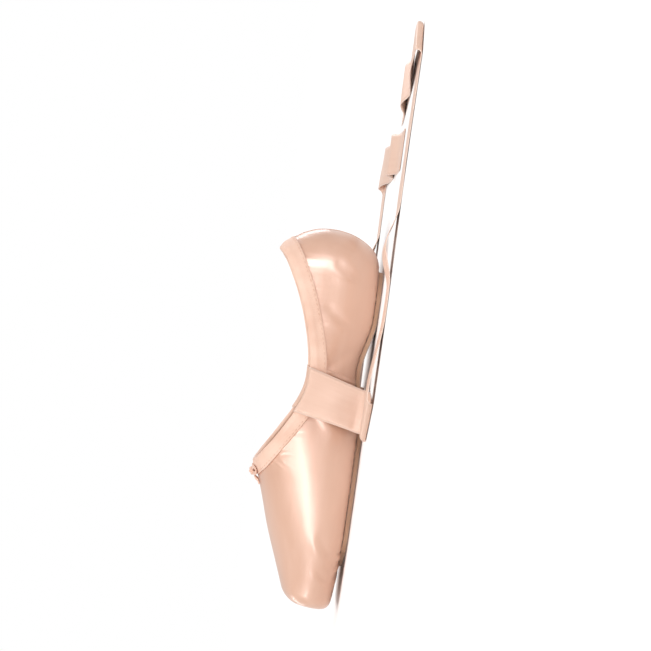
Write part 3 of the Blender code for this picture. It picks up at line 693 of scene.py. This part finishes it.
def hem(x, s, z):
    # Puckers where the satin turns in over the sole, deeper round the heel and the toe
    low = easeAll((upperLook["hemTop"] - z) / upperLook["hemFade"]) * (s > upperLook["hemFrom"])
    run = s + np.where(s > 0.19, np.abs(x) * 0.8, 0.0)
    ripple = np.sin(run / upperLook["hemStep"] * 2 * math.pi + 1.7 * np.sin(run * 210))
    strength = 0.45 + 0.55 * easeAll((s - 0.17) / 0.03) + 0.3 * easeAll((0.06 - s) / 0.02)
    return upperLook["hemPucker"] * low * ripple * strength


def crease(x, s, z, start, end, deep, wide, onRight):
    forward, rise = end[0] - start[0], end[1] - start[1]
    long = math.hypot(forward, rise)
    run = ((s - start[0]) * forward + (z - start[1]) * rise) / long**2
    arc = np.sin(math.pi * np.clip(run, 0, 1))
    off = ((z - start[1]) * forward - (s - start[0]) * rise) / long - upperLook["creaseArc"] * arc
    trough = -np.exp(-((off / wide) ** 2)) + 0.7 * np.exp(-(((off - 1.5 * wide) / wide) ** 2))
    return deep * trough * arc**0.7 * np.where(x > 0, 1.0, onRight) * (np.abs(x) > 0.012)


def gathers(x, s, z):
    # Along the lower edge of the tape, where the drawstring pulls
    throat = shoe["vampLength"]
    high = np.array([collarHeight(a) if a > throat else section(round(float(a), 5))["top"] for a in s])
    below = np.where(s > throat, high - z, np.hypot(throat - s, np.maximum(high - z, 0))) - tape["width"]
    run = s + np.abs(x) * easeAll((0.105 - s) / 0.02)
    run = run + wander(run, 90, 2.0) * upperLook["puckerDrift"]
    ripple = np.sin(run / upperLook["puckerStep"] * 2 * math.pi)
    fade = np.exp(-np.maximum(below, 0) / upperLook["puckerReach"]) * easeAll((below + 0.004) / 0.004)
    return upperLook["pucker"] * ripple * fade


def unevenness(place, s, z):
    # Less over the stiff box than in the quarters
    soft = np.array([noise.noise(Vector(p) * upperLook["softSize"]) for p in place])
    fine = np.array([noiseAt(p, upperLook["fineSize"]) for p in place])
    loose = upperLook["boxShare"] + (1 - upperLook["boxShare"]) * easeAll((s - 0.085) / 0.03)
    return easeAll((z - 0.006) / 0.008) * loose * (upperLook["soft"] * soft + upperLook["fine"] * fine)


def shapeUpper(piece):
    mesh = piece.data
    place, facing = meshArrays(mesh)
    x, s, z = place[:, 0], place[:, 1] + shoe["length"] / 2, place[:, 2]
    move = pleats(x, s, z) + seams(x, s, z) + hem(x, s, z) + gathers(x, s, z) + unevenness(place, s, z)
    for values in creases:
        move += crease(x, s, z, *values)
    mesh.vertices.foreach_set("co", (place + facing * move[:, None]).ravel())
    mesh.update()


buildUpper()
print("upper made")


# Outsole and insole
def soleHalf(s):
    wide = section(min(s, shoe["heelAt"]))["foot"] - shoe["soleMargin"]
    nose = (s - shoe["soleToeAt"]) / (shoe["soleNose"] * shoe["soleWidth"] / 2)
    tail = (soleEnd() - s) / (section(shoe["heelAt"])["foot"] - shoe["soleMargin"])
    return wide * rounded(nose) * rounded(tail)


def buildSlab(name, outline, first, last, heights, insets, material, slotName, node, count=150, across=14):
    # A flat piece. insets and heights describe its edge from underneath to the top.
    points = []
    for k in range(count + 1):
        share = 0.45 * (1 - math.cos(math.pi * k / count)) + 0.1 * k / count    # closer together at the ends
        s = first + (last - first) * share
        wide = max(outline(s), 0.0)
        edges = [max(wide - inset, 0.0) for inset in insets]
        toEnd = (0.5 - share) * 2
        slide = math.copysign(max(abs(toEnd) - 0.9, 0.0) / 0.1, toEnd)

        def inward(n, j):
            x = edges[n] * j / across
            return (x, s, heights[n](s, x))

        points += [inward(0, j) for j in range(across)]
        points += [(x, s + slide * inset, high(s, x)) for x, inset, high in zip(edges, insets, heights)]
        points += [inward(-1, j) for j in reversed(range(across))]
    faces = gridFaces(count + 1, 2 * across + len(insets))
    mirrorAndWeld(newPiece(name, centred(points), faces, material, slotName, node))


soleLook = dict(
    channel=0.0032, channelWide=0.0008, channelDeep=0.0004, edgeSteps=6,
    clear=0.0006, crown=0.0004,    # the insole's distance from the satin and its rise in the middle
)


def buildOutsole():
    thick, bevel, gap = shoe["soleThickness"], shoe["soleBevel"], shoe["gap"]

    def level(share):
        def at(s, x):
            z = underside(s) - gap - thick + thick * share
            if share == 0:
                inFrom = soleHalf(s) - abs(x) - soleLook["channel"]
                z += soleLook["channelDeep"] * math.exp(-((inFrom / soleLook["channelWide"]) ** 2))
            return z
        return at

    heights, insets = [], []
    for angle in spread(0.0, math.pi / 2, soleLook["edgeSteps"]):
        heights.append(level((1 - math.cos(angle)) * bevel / thick))
        insets.append(bevel * (1 - math.sin(angle)))
    for share in (0.55, 0.8, 0.95, 1.0):
        heights.append(level(share))
        insets.append(0.0003 if share == 1.0 else 0.0)
    buildSlab(
        "outsoleLeather", soleHalf, shoe["soleToeAt"], soleEnd(), heights, insets,
        soleLeather, "sole_leather", "outsole",
    )


def insoleEnd():
    return soleEnd() + shoe["soleMargin"] - shoe["quarterWall"]


def insoleHalf(s):
    wide = section(min(s, shoe["heelAt"]))["foot"] - soleLook["clear"]
    return wide * rounded((s - shoe["insoleToeAt"]) / wide) * rounded((insoleEnd() - s) / wide)


def buildInsole():
    def seat(s, _):
        return underside(s) + wallAt(s) + shoe["gap"]

    def top(s, x):
        crown = soleLook["crown"] * (1 - (x / max(insoleHalf(s), 1e-4)) ** 2)
        return seat(s, x) + shoe["insoleThickness"] * 0.92 + crown

    def edge(share):
        return lambda s, x: seat(s, x) + shoe["insoleThickness"] * share

    heights = [seat, edge(0.3), edge(0.6), edge(0.85), top]
    insets = [0.0008, 0.0002, 0.0, 0.0002, 0.0010]
    buildSlab(
        "insoleSock", insoleHalf, shoe["insoleToeAt"], insoleEnd(), heights, insets,
        liningCloth, "sock", "insole",
    )


buildOutsole()
buildInsole()
print("soles made")


# Collar tape, folded over the edge of the satin
def collarPlaces(down):
    places = []
    for station in seamStations(tape["collarColumns"], tape["backColumns"]):
        at = station + columnLean(station) * (columnTop(station) - underside(station))
        if station == shoe["vampLength"]:
            at = station
        edge, height = section(at), collarHeight(at)
        share = min((height - edge["belly"]) / (edge["top"] - edge["belly"]), 1.0)
        back = ease((at - shoe["vampLength"]) / tape["reach"])
        s = at - down * (1 - back)
        cut = section(s)
        places.append((s, 0.0, cut["belly"] + (cut["top"] - cut["belly"]) * share - down * back))
    for turn in heelTurns(tape["heelColumns"]):
        places.append((shoe["heelAt"], turn, collarRound(turn) - down * (1 - 0.2 * math.sin(turn))))
    return places


def collarPoint(place, out):
    s, turn, z = place
    cut = section(s)
    if turn == 0 and z > cut["top"] - 1e-7:
        slope = (section(s + 0.0005)["top"] - section(s - 0.0005)["top"]) / 0.001
        tilt = math.atan(slope)
        _, y, z = skin(s, 0.0, cut["top"])
        return (0.0, y - out * math.sin(tilt), z + out * math.cos(tilt))
    point = skin(s, turn, z, out)
    if turn > math.pi / 2 - 1e-6:
        point[0] = 0.0
    return tuple(point)


def tapeProfile():
    # How far below the edge and how far out of the skin, round the folded tape
    gap, thick = shoe["gap"], tape["thickness"]
    face, inner = thick * tape["pressed"], shoe["quarterWall"] + tape["ease"]
    wide, inside = tape["width"], tape["inside"]
    outer = [(wide, gap * 0.4), (wide + 0.0001, gap + thick * 0.3), (wide - 0.0002, gap + thick * 0.66)]
    for k in range(1, 9):
        t = k / 9
        down = wide * (1 - t)
        cord = tape["cordHigh"] * math.exp(-(((down - tape["cordDown"]) / tape["cordWide"]) ** 2))
        dent = tape["dent"] * math.exp(-(((down - tape["stitchDown"]) / tape["dentWide"]) ** 2))
        outer.append((down, gap + face + cord - dent))
    rim = []
    middle, radius = -inner / 2, (inner + 2 * gap + 2 * thick * 0.9) / 2
    for k in range(1, 8):
        angle = math.pi * k / 8
        rim.append((-(gap + thick) * math.sin(angle), middle + radius * math.cos(angle)))
    inward = [(inside * share, -inner - gap - face) for share in (0.0, 0.3, 0.6, 0.95)]
    closing = [(inside, -inner - gap * 0.5), (inside * 0.5, -inner - gap), (0.0, -inner - gap)]
    closing.append((-gap * 0.5, -inner / 2))
    back = [(0.0, gap * 0.8), (wide * 0.5, gap * 0.8)]
    return outer + rim + inward + closing + back + [outer[0]]


def buildTape():
    profile = tapeProfile()
    lines = [[collarPoint(p, out) for p in collarPlaces(down)] for down, out in profile]
    points = centred([p for line in lines for p in line])
    faces = gridFaces(len(profile), len(lines[0]))
    piece = newPiece("collarTape", points, faces, tapeCloth, "binding", "collar_binding")
    mirrorAndWeld(piece)
    for vert in piece.data.vertices:
        wave = noiseAt(vert.co, tape["waveSize"]) * tape["wave"]
        wave += noiseAt(vert.co, tape["wrinkleSize"]) * tape["wrinkle"]
        vert.co += vert.normal * wave * min(abs(vert.co.x) / 0.002, 1.0)    # still at the weld in the middle


def stepLengths(line):
    return np.linalg.norm(np.diff(line, axis=0), axis=1)


def evenSteps(line, step):
    # Places a step apart along a line, each with its direction
    line = np.array(line)
    gone = np.concatenate([[0], np.cumsum(stepLengths(line))])
    marks = np.arange(step / 2, gone[-1], step)
    at = np.stack([np.interp(marks, gone, line[:, k]) for k in range(3)], axis=1)
    ahead = np.stack([np.interp(marks + 1e-4, gone, line[:, k]) for k in range(3)], axis=1) - at
    return at, ahead / np.linalg.norm(ahead, axis=1)[:, None]


def stitchMesh(name, at, ahead, outward, look, slotName):
    # One small closed grain of thread for each place
    rings, around = threadLook["rings"], threadLook["around"]
    long, thick = look["stitch"], look["stitchThick"]
    points, faces = [], []
    for centre, forward, out in zip(at, ahead, outward):
        side = np.cross(forward, out)
        faces += tubeFaces(len(points), rings, around)
        for k in range(rings):
            share = (k + 0.5) / rings * 2 - 1
            size = thick / 2 * math.sqrt(max(1 - share**4, threadLook["blunt"]))
            sink = -thick * threadLook["sunk"] * share * share
            for n in range(around):
                angle = 2 * math.pi * n / around
                spot = centre + forward * long / 2 * share + out * (sink + size * math.sin(angle))
                points.append(spot + side * size * math.cos(angle))
    faceOutward(newPiece(name, points, faces, threadCloth, slotName))


threadLook = dict(
    rings=5, around=6, blunt=0.08, sunk=0.35,
    color=fromScreen(236, 194, 170), shade=fromScreen(222, 174, 148), rough=0.5, threads=16000.0, bump=0.1,
)
threadCloth = makeWoven("sewing thread", threadLook)


def nearest(line, spot):
    return line[np.argmin(np.linalg.norm(line - spot, axis=1))]


def buildTapeStitches():
    places = collarPlaces(tape["stitchDown"])
    lift = shoe["gap"] + tape["thickness"] * tape["pressed"]
    line = centred([collarPoint(p, lift - 0.00005) for p in places])
    over = centred([collarPoint(p, lift + 0.001) for p in places])
    at, ahead = evenSteps(line, tape["stitchStep"])
    outward = []
    for spot, forward in zip(at, ahead):
        out = nearest(over, spot) - nearest(line, spot)
        outward.append(unit(out - forward * (out @ forward)))
    outward = np.array(outward)
    flip = np.array([-1, 1, 1])
    stitchMesh(
        "tapeStitches", np.concatenate([at, at * flip]), np.concatenate([ahead, ahead * flip]),
        np.concatenate([outward, outward * flip]), tape, "binding",
    )


buildTape()
buildTapeStitches()
print("collar tape made")


# Bow of the drawstring
bowLook = dict(
    at=0.0759, thick=0.0017, wide=1.4, flat=0.6,    # wide and flat are shares of the thickness
    loopLong=0.0105, loopWide=0.0050, loopSteps=56, endOut=0.0064, endDown=0.0053, endSteps=21,
    knot=0.0038, tuck=0.0022, knotShape=(1.02, 1.22, 0.92), knotLean=0.36, wrap=0.00022, wrapStep=0.00085,
    color=fromScreen(244, 208, 188), shade=fromScreen(232, 188, 166), rough=0.6, threads=9000.0, bump=0.3,
)
cordCloth = makeWoven("drawstring", bowLook)


def vampPoint(x, s, lift):
    cut = section(s)
    c = x / cut["width"]
    for _ in range(4):
        c = x / cut["width"] / (1 + cut["full"] * (1 - c * c))
    z = cut["belly"] + (cut["top"] - cut["belly"]) * math.sqrt(1 - c * c)
    if abs(x) < 0.0008:
        return np.array(collarPoint((s, 0.0, cut["top"]), lift)) + [x, 0, 0]
    point = skin(s, 0.0, z, lift)
    point[0] = math.copysign(point[0], x)
    return point


def flatCord(name, route, node):
    # A soft flat cord along a route that lies on the vamp
    route = centred(route)
    count, around = len(route), 12
    wide, thick = bowLook["thick"] * bowLook["wide"], bowLook["thick"] * bowLook["flat"]
    points = []
    for k in range(count):
        ahead = unit(route[min(k + 1, count - 1)] - route[max(k - 1, 0)])
        across = unit(np.cross(ahead, np.array([route[k][0] * 12, -0.3, 1.0])))
        up = np.cross(across, ahead)
        size = [0.35, 0.85, 1.0][min(k, count - 1 - k, 2)]
        for n in range(around):
            angle = 2 * math.pi * n / around
            ring = across * wide / 2 * math.cos(angle) + up * thick / 2 * math.sin(angle)
            points.append(route[k] + size * ring)
    faceOutward(newPiece(name, points, tubeFaces(0, count, around), cordCloth, "drawstring", node))


def loopRoute(side, edge, lift):
    # Out of the knot, round and back into it
    route = []
    tuck, thick = bowLook["tuck"], bowLook["thick"]
    for t in spread(0.0, 2 * math.pi, bowLook["loopSteps"]):
        grow = (1 - math.cos(t)) / 2
        out = edge - tuck + (bowLook["loopLong"] + tuck) * grow
        across = bowLook["loopWide"] / 2 * math.sin(t) * (0.35 + 0.65 * grow)
        opened = thick * 0.52 * (1 if t < math.pi else -1) * (1 - grow)
        s = bowLook["at"] + 0.0010 * grow + 0.0003 + across + opened
        route.append(vampPoint(side * out, s, lift + 0.0004 * (1 - grow)))
    return route


def endRoute(side, edge, lift):
    # From the knot over the tape's edge down onto the satin
    route = []
    for t in spread(0.0, 1.0, bowLook["endSteps"]):
        out = bowLook["knot"] * 0.42 * ease(t / 0.3) + bowLook["endOut"] * t + 0.0005
        down = edge * (0.35 + 0.58 * ease(t / 0.35)) + bowLook["endDown"] * t - 0.0006 * math.sin(math.pi * t)
        low = lift - (shoe["gap"] + tape["thickness"]) * ease((t - 0.35) / 0.4)
        route.append(vampPoint(side * out, bowLook["at"] - down, low))
    return route


def buildKnot():
    knot, (wide, long, high) = bowLook["knot"], bowLook["knotShape"]
    lift = 2 * shoe["gap"] + tape["thickness"] + knot * 0.4
    centre = centred([vampPoint(0.0, bowLook["at"], lift)])[0]
    work = bmesh.new()
    bmesh.ops.create_uvsphere(work, u_segments=40, v_segments=28, radius=knot / 2)
    for vert in work.verts:
        x, y, z = vert.co
        wrap = bowLook["wrap"] * math.cos(y / bowLook["wrapStep"] * math.pi) * (1 - (2 * x / knot) ** 2)
        vert.co = Vector((x * wide, y * long, z * high)) * (1 + wrap / (knot / 2))
    mesh = bpy.data.meshes.new("bowKnot")
    work.to_mesh(mesh)
    work.free()
    mesh.transform(Matrix.Translation(centre) @ Matrix.Rotation(bowLook["knotLean"], 4, "X"))
    dressMesh("bowKnot", mesh, cordCloth, "drawstring", "bow_knot")


def buildBow():
    thick = bowLook["thick"]
    lift = 2 * shoe["gap"] + tape["thickness"] + thick * 0.32
    edge = bowLook["knot"] / 2 + shoe["gap"] + thick / 2
    for side, name in ((1, "Left"), (-1, "Right")):
        flatCord(f"bowLoop{name}", loopRoute(side, edge, lift), f"bow_loop_{name.lower()}")
        flatCord(f"bowEnd{name}", endRoute(side, edge, lift), f"bow_end_{name.lower()}")
    buildKnot()


buildBow()
print("bow made")


# Ribbons
ribbonLook = dict(
    width=0.025, thickness=0.0006, seen=0.0004, at=0.1275, run=0.365, tuck=0.012, land=0.007, offFloor=0.0001,
    belly=0.0012, ripple=0.0003, stitch=0.0016, stitchStep=0.0023, stitchThick=0.00034,
    fold=0.0018, settle=0.045, row=0.0025, hang=14, across=12, foldSteps=16, runSteps=90,
    body=fromScreen(230, 194, 173), deep=fromScreen(219, 179, 155), pale=fromScreen(243, 214, 198),
    edge=fromScreen(244, 216, 200), selvage=0.0009,
    rough=0.42, metal=0.06, coat=0.03, gloss=0.35, sheen=0.06,
    threads=2600.0, slub=0.15, streak=0.35, streakSize=480.0, bump=0.09,
)
# Folds: at and slant in degrees. Waves: at, long and high. Sways: at, long and turn in degrees.
# at and long are shares of the run, high of the width
ribbonLie = dict(
    Left=dict(
        folds=[(0.090, 43), (0.700, -33)],
        waves=[(0.3125, 0.125, 0.20), (0.8625, 0.100, 0.16)],
        sways=[(0.175, 0.200, -11), (0.400, 0.200, 16)],
    ),
    Right=dict(
        folds=[(0.115, 47), (0.5625, -42)],
        waves=[(0.3375, 0.1125, 0.18), (0.8125, 0.1125, 0.20)],
        sways=[(0.200, 0.175, 9), (0.375, 0.150, -12)],
    ),
)
ribbonSatin = makeSatin("ribbon satin", ribbonLook, strip=True)


def turned(vector, axis, angle):
    axis = unit(axis)
    return (
        vector * math.cos(angle) + np.cross(axis, vector) * math.sin(angle)
        + axis * (axis @ vector) * (1 - math.cos(angle))
    )


def walk(place, ahead, across, steps):
    frames = [(place, ahead, across)]
    for length, bend, skew in steps:
        count = max(1, round(abs(bend) / math.radians(8)))
        for _ in range(count):
            axis = across * math.cos(skew) + ahead * math.sin(skew)
            ahead, across = turned(ahead, axis, bend / count / 2), turned(across, axis, bend / count / 2)
            place = place + ahead * length / count
            ahead, across = turned(ahead, axis, bend / count / 2), turned(across, axis, bend / count / 2)
            frames.append((place, ahead, across))
    return frames


def plainRows(first, last):
    return [(at, 0.0) for at in spread(first, last, max(2, round((last - first) / ribbonLook["row"])))]


def runRows(lie):
    # Rows lie square across the cloth, and turn to the slant of each fold before and after it
    rows, edge, easing = [], 0.0, 6
    for share, slant in lie["folds"]:
        at, skew = share * ribbonLook["run"], math.radians(slant)
        turn = math.pi * ribbonLook["fold"] / math.cos(skew)
        side = abs(math.tan(skew)) * ribbonLook["width"] / 2
        begin, end = at - side - 0.004, at + turn + side + 0.004
        rows += plainRows(edge, begin)
        shares = [k / easing for k in range(1, easing)]
        rows += [(begin + (at - begin) * part, math.tan(skew) * part) for part in shares]
        rows += [(place, math.tan(skew)) for place in spread(at, at + turn, ribbonLook["foldSteps"])]
        rows += [(at + turn + (end - at - turn) * part, math.tan(skew) * (1 - part)) for part in shares]
        edge = end
    return rows + plainRows(edge, ribbonLook["run"])


@lru_cache(maxsize=None)
def middleLine(side, along):
    x = y = heading = 0.0
    steps = ribbonLook["runSteps"]
    for k in range(steps):
        at = along / steps * (k + 0.5) / ribbonLook["run"]
        sways = ribbonLie[side]["sways"]
        heading = sum(math.radians(turn) * ease((at - start) / long) for start, long, turn in sways)
        x += math.cos(heading) * along / steps
        y += math.sin(heading) * along / steps
    return x, y, heading


def runPoint(side, along, across):
    # The cloth is laid flat with its waves, and then turned over each fold, the last one first
    lie, fold, run = ribbonLie[side], ribbonLook["fold"], ribbonLook["run"]
    x, y, heading = middleLine(side, round(along, 6))
    point = np.array([x - math.sin(heading) * across, y + math.cos(heading) * across, 0.0])
    ways = [(-1) ** n for n in range(len(lie["folds"]))]
    for (at, _), way in zip(lie["folds"], ways):
        point[2] += way * 2 * fold * ease((along - at * run) / ribbonLook["settle"] - 0.5)
    for at, long, high in lie["waves"]:
        over = sum(at > f[0] for f in lie["folds"])
        t = (along / run - at) / long
        if 0 < t < 1:
            point[2] += (-1) ** over * high * ribbonLook["width"] * math.sin(math.pi * t) ** 2
    base = sum(ways) * 2 * fold
    for (at, slant), way in reversed(list(zip(lie["folds"], ways))):
        base -= way * 2 * fold
        x, y, heading = middleLine(side, round(at * run, 6))
        angle = heading - math.radians(slant)
        forward = np.array([math.cos(angle), math.sin(angle), 0.0])
        beyond = (point - [x, y, 0.0]) @ forward
        if beyond <= 0:
            continue
        high = (point[2] - base) * way
        theta = min(beyond / fold, math.pi)
        rest = beyond - theta * fold
        point = point - forward * beyond + forward * ((fold - high) * math.sin(theta) - rest)
        point[2] = base + way * (fold - (fold - high) * math.cos(theta))
    return point


def ribbonRows(side):
    look = ribbonLook
    shares = [k / look["across"] * 2 - 1 for k in range(look["across"] + 1)]
    half, nudge = look["width"] / 2, look["width"] / 12

    def edgeAt(s):
        return skin(s, 0.0, collarHeight(s))

    edge = edgeAt(look["at"])
    along = unit(edgeAt(look["at"] + nudge) - edgeAt(look["at"] - nudge))
    out = unit(np.cross(along, edge - skin(look["at"], 0.0, collarHeight(look["at"]) - nudge)))
    up = np.cross(out, along)
    layers = shoe["quarterWall"] + tape["ease"] + 2 * tape["thickness"] + 6 * shoe["gap"] + look["thickness"]
    radius = layers / 2
    top = edge - out * (shoe["quarterWall"] + tape["ease"]) / 2 + up * (radius + tape["thickness"])
    quarter = math.pi / 2 * radius
    inside = walk(top, -out, along, [(quarter, -math.pi / 2, 0.0)] + [(look["tuck"] / 8, 0.0, 0.0)] * 8)
    outside = walk(top, out, along, [(quarter, math.pi / 2, 0.0)])
    place, ahead, across = outside[-1]
    face = np.cross(ahead, across)
    level = unit(np.cross(face, [0, 0, 1.0]))
    skew = math.atan2(level @ ahead, level @ across)
    if abs(skew) > math.pi / 2:
        skew -= math.copysign(math.pi, skew)
    angle = math.pi / 2 - math.asin(abs(face[2]))
    floor = look["thickness"] / 2 + look["offFloor"]
    drop = place[2] - floor - look["land"] * (1 - math.cos(angle))
    steps = [(drop / -ahead[2] / look["hang"], 0.0, 0.0)] * look["hang"]
    steps.append((look["land"] * angle / math.cos(skew), -angle, skew))
    hanging = walk(place, ahead, across, steps)[1:]
    frames = [(one, 1.0) for one in inside[::-1][:-1] + outside]
    frames += [(one, ease(1 - (k + 1) / look["hang"])) for k, one in enumerate(hanging)]
    softFrom = len(inside) + len(outside) - 1
    sag = [edgeAt(look["at"] + u * half) - edge - along * half * u for u in shares]
    close = (shoe["gap"] + tape["thickness"] + look["seen"] / 2 + 0.0002) / (radius + tape["thickness"])
    rows = []
    for n, ((place, _, across), follow) in enumerate(frames):
        t = min(max((n - softFrom) / look["hang"], 0.0), 1.0)
        row = []
        for k, u in enumerate(shares):
            soft = look["belly"] * math.sin(math.pi * t) ** 2 * (0.55 + 0.45 * math.cos(2.6 * u + 0.8))
            point = place + across * half * u + sag[k] * follow
            above = (point - edge - along * half * u - sag[k]) @ up
            row.append(point + out * soft - up * max(above, 0.0) * (1 - close))
        rows.append(row)
    place, ahead, across = hanging[-1]
    for at, slant in runRows(ribbonLie[side])[1:]:
        row = []
        for u in shares:
            along = at + slant * u * half
            x, y, z = runPoint(side, along, u * half)
            lift = noise.noise(Vector((along * 38, u * 0.7, 3.0 if side == "Left" else 8.0))) + 0.35
            z += look["ripple"] * max(lift, 0.0) * ease(along / 0.02)
            row.append(place + ahead * x + across * y + np.array([0, 0, z]))
        rows.append(row)
    for row in rows:
        for point in row:
            point[2] = max(point[2], look["seen"] / 2 + look["offFloor"])
    return rows


def buildRibbon(side, sign):
    rows = ribbonRows(side)
    points = centred([(sign * x, y, z) for row in rows for x, y, z in row])
    faces = gridFaces(len(rows), len(rows[0]))
    piece = newPiece(f"ribbon{side}", points, faces, ribbonSatin, "ribbon_satin", f"ribbon_{side.lower()}")
    steps = stepLengths(np.array(rows)[:, len(rows[0]) // 2])
    gone = np.concatenate([[0], np.cumsum(steps)])
    across = ribbonLook["across"]
    # The strip attribute holds the cloth's own coordinates, across and along, for its threads
    own = [(ribbonLook["width"] * (k / across - 0.5), g, 0.0) for g in gone for k in range(across + 1)]
    strip = piece.data.attributes.new("strip", "FLOAT_VECTOR", "POINT")
    strip.data.foreach_set("vector", np.array(own).ravel())
    solid = piece.modifiers.new("cloth", "SOLIDIFY")
    solid.thickness = ribbonLook["seen"]
    solid.offset = 0


def buildRibbonStitches():
    # The tucked end is sewn to the lining along three sides, one row in from its edges
    sewn = []
    for side, sign in (("Left", 1), ("Right", -1)):
        flip = np.array([sign, 1, 1])
        rows = np.array(ribbonRows(side))
        at, ahead = evenSteps([rows[7, 1], *rows[1, 1:-1], rows[7, -2]], ribbonLook["stitchStep"])
        face = unit(np.cross(rows[0, -1] - rows[0, 0], rows[4, 0] - rows[0, 0]))
        face = face * (-1 if face[0] > 0 else 1)
        for spot, forward in zip(at, ahead):
            forward = unit(forward - face * (forward @ face))
            place = spot + face * (ribbonLook["seen"] / 2 + 0.00005)
            sewn.append((centred([place * flip])[0], forward * flip, face * flip))
    at, ahead, outward = (np.array(part) for part in zip(*sewn))
    stitchMesh("ribbonStitches", at, ahead, outward, ribbonLook, "ribbon_satin")


buildRibbon("Left", 1)
buildRibbon("Right", -1)
buildRibbonStitches()
print("ribbons made")


# Studio: a white floor, one soft sun, and strips of light whose gloss shows on the satin
studio = dict(
    lean=8.0, azimuth=90.0, elevation=1.6, lens=120.0, sensor=36.0, frameHeight=0.39,
    lookAt=(0.0, 0.055, 0.030),
    floor=0.99, floorHalf=12.0, sky=0.72, sunPower=1.40, sunFrom=(0.48, -0.12, 0.87), sunAngle=30.0,
    stripColor=(0.90, 0.93, 1.0),
)
# Strips: place, what they face, the direction of the long side, width, length and power
strips = dict(
    boxLight=((0.60, -0.10, 0.50), (0.0, -0.03, 0.03), (0.70, -0.40, -0.90), 0.055, 1.20, 3.9),
    toeLight=((0.80, -0.44, 0.15), (0.0, -0.08, 0.03), (0.35, -0.60, -0.45), 0.06, 0.50, 1.9),
    waistLight=((0.86, 0.02, 0.38), (0.0, 0.04, 0.03), (0.0, 0.5, 1.0), 0.14, 0.34, 1.9),
    heelLight=((0.68, 0.54, 0.28), (0.0, 0.08, 0.03), (0.0, 0.0, 1.0), 0.22, 0.56, 5.2),
    backLight=((-0.75, 0.55, 0.45), (0.0, 0.0, 0.03), (0.0, 0.0, 1.0), 0.20, 0.90, 3.2),
    frontLight=((-0.45, -0.85, 0.40), (0.0, -0.05, 0.03), (0.0, 0.0, 1.0), 0.20, 0.70, 2.6),
)


def addStrip(name, place, aim, along, wide, long, power):
    data = bpy.data.lights.new(name, "AREA")
    data.shape = "RECTANGLE"
    data.size = wide
    data.size_y = long
    data.energy = power
    data.color = studio["stripColor"]
    lamp = addObject(name, data)
    back = (Vector(place) - Vector(aim)).normalized()
    side = Vector(along).cross(back).normalized()
    lamp.matrix_world = Matrix((side, back.cross(side), back)).transposed().to_4x4()
    lamp.location = place
    lamp.visible_diffuse = False    # the strips only draw the gloss


def buildFloor():
    shade, half = studio["floor"], studio["floorHalf"]
    paint = {"Base Color": (shade, shade, shade, 1), "Roughness": 0.9, "Specular IOR Level": 0.1}
    material, _, _ = newMaterial("studio floor", paint)
    mesh = bpy.data.meshes.new("floor")
    corners = [(-half, -half, 0), (half, -half, 0), (half, half, 0), (-half, half, 0)]
    mesh.from_pydata(corners, [], [(0, 1, 2, 3)])
    floor = addObject("floor", mesh)
    mesh.materials.append(material)


def buildSky():
    # The camera sees plain white; the shoe is lit by a dimmer sky
    world = bpy.data.worlds.new("studio")
    bpy.context.scene.world = world
    world.use_nodes = True
    tree = world.node_tree
    back = tree.nodes["Background"]
    back.inputs["Color"].default_value = (1, 1, 1, 1)
    back.inputs["Strength"].default_value = studio["sky"]
    seen = tree.nodes.new("ShaderNodeBackground")
    seen.inputs["Color"].default_value = (1, 1, 1, 1)
    path = tree.nodes.new("ShaderNodeLightPath")
    choose = tree.nodes.new("ShaderNodeMixShader")
    tree.links.new(path.outputs["Is Camera Ray"], choose.inputs[0])
    tree.links.new(back.outputs[0], choose.inputs[1])
    tree.links.new(seen.outputs[0], choose.inputs[2])
    tree.links.new(choose.outputs[0], tree.nodes["World Output"].inputs[0])


def buildSun():
    data = bpy.data.lights.new("sun", "SUN")
    data.energy = studio["sunPower"]
    data.angle = math.radians(studio["sunAngle"])
    sun = addObject("sun", data)
    sun.rotation_euler = (-Vector(studio["sunFrom"])).to_track_quat("-Z", "Y").to_euler()
    sun.visible_glossy = False    # it only lights, so that the gloss comes from the strips


def buildCamera():
    # Rolled so that the toe points down in the picture, as in the photo
    lean = math.radians(studio["lean"])
    azimuth, elevation = math.radians(studio["azimuth"]), math.radians(studio["elevation"])
    level = Vector((math.sin(azimuth), -math.cos(azimuth), 0.0)) * math.cos(elevation)
    back = level + Vector((0.0, 0.0, math.sin(elevation)))
    up = Vector((0, math.cos(lean), math.sin(lean)))
    right = up.cross(back).normalized()
    up = back.cross(right)
    data = bpy.data.cameras.new("camera")
    data.lens = studio["lens"]
    data.sensor_width = studio["sensor"]
    camera = addObject("camera", data)
    distance = studio["frameHeight"] / 2 / (data.sensor_width / 2 / data.lens)
    camera.matrix_world = Matrix((right, up, back)).transposed().to_4x4()
    camera.location = Vector(studio["lookAt"]) + back * distance
    data.clip_start = 0.05
    bpy.context.scene.camera = camera


buildFloor()
buildSky()
buildSun()
for name, values in strips.items():
    addStrip(name, *values)
buildCamera()
bpy.context.scene.view_settings.view_transform = "Standard"
print("studio made")
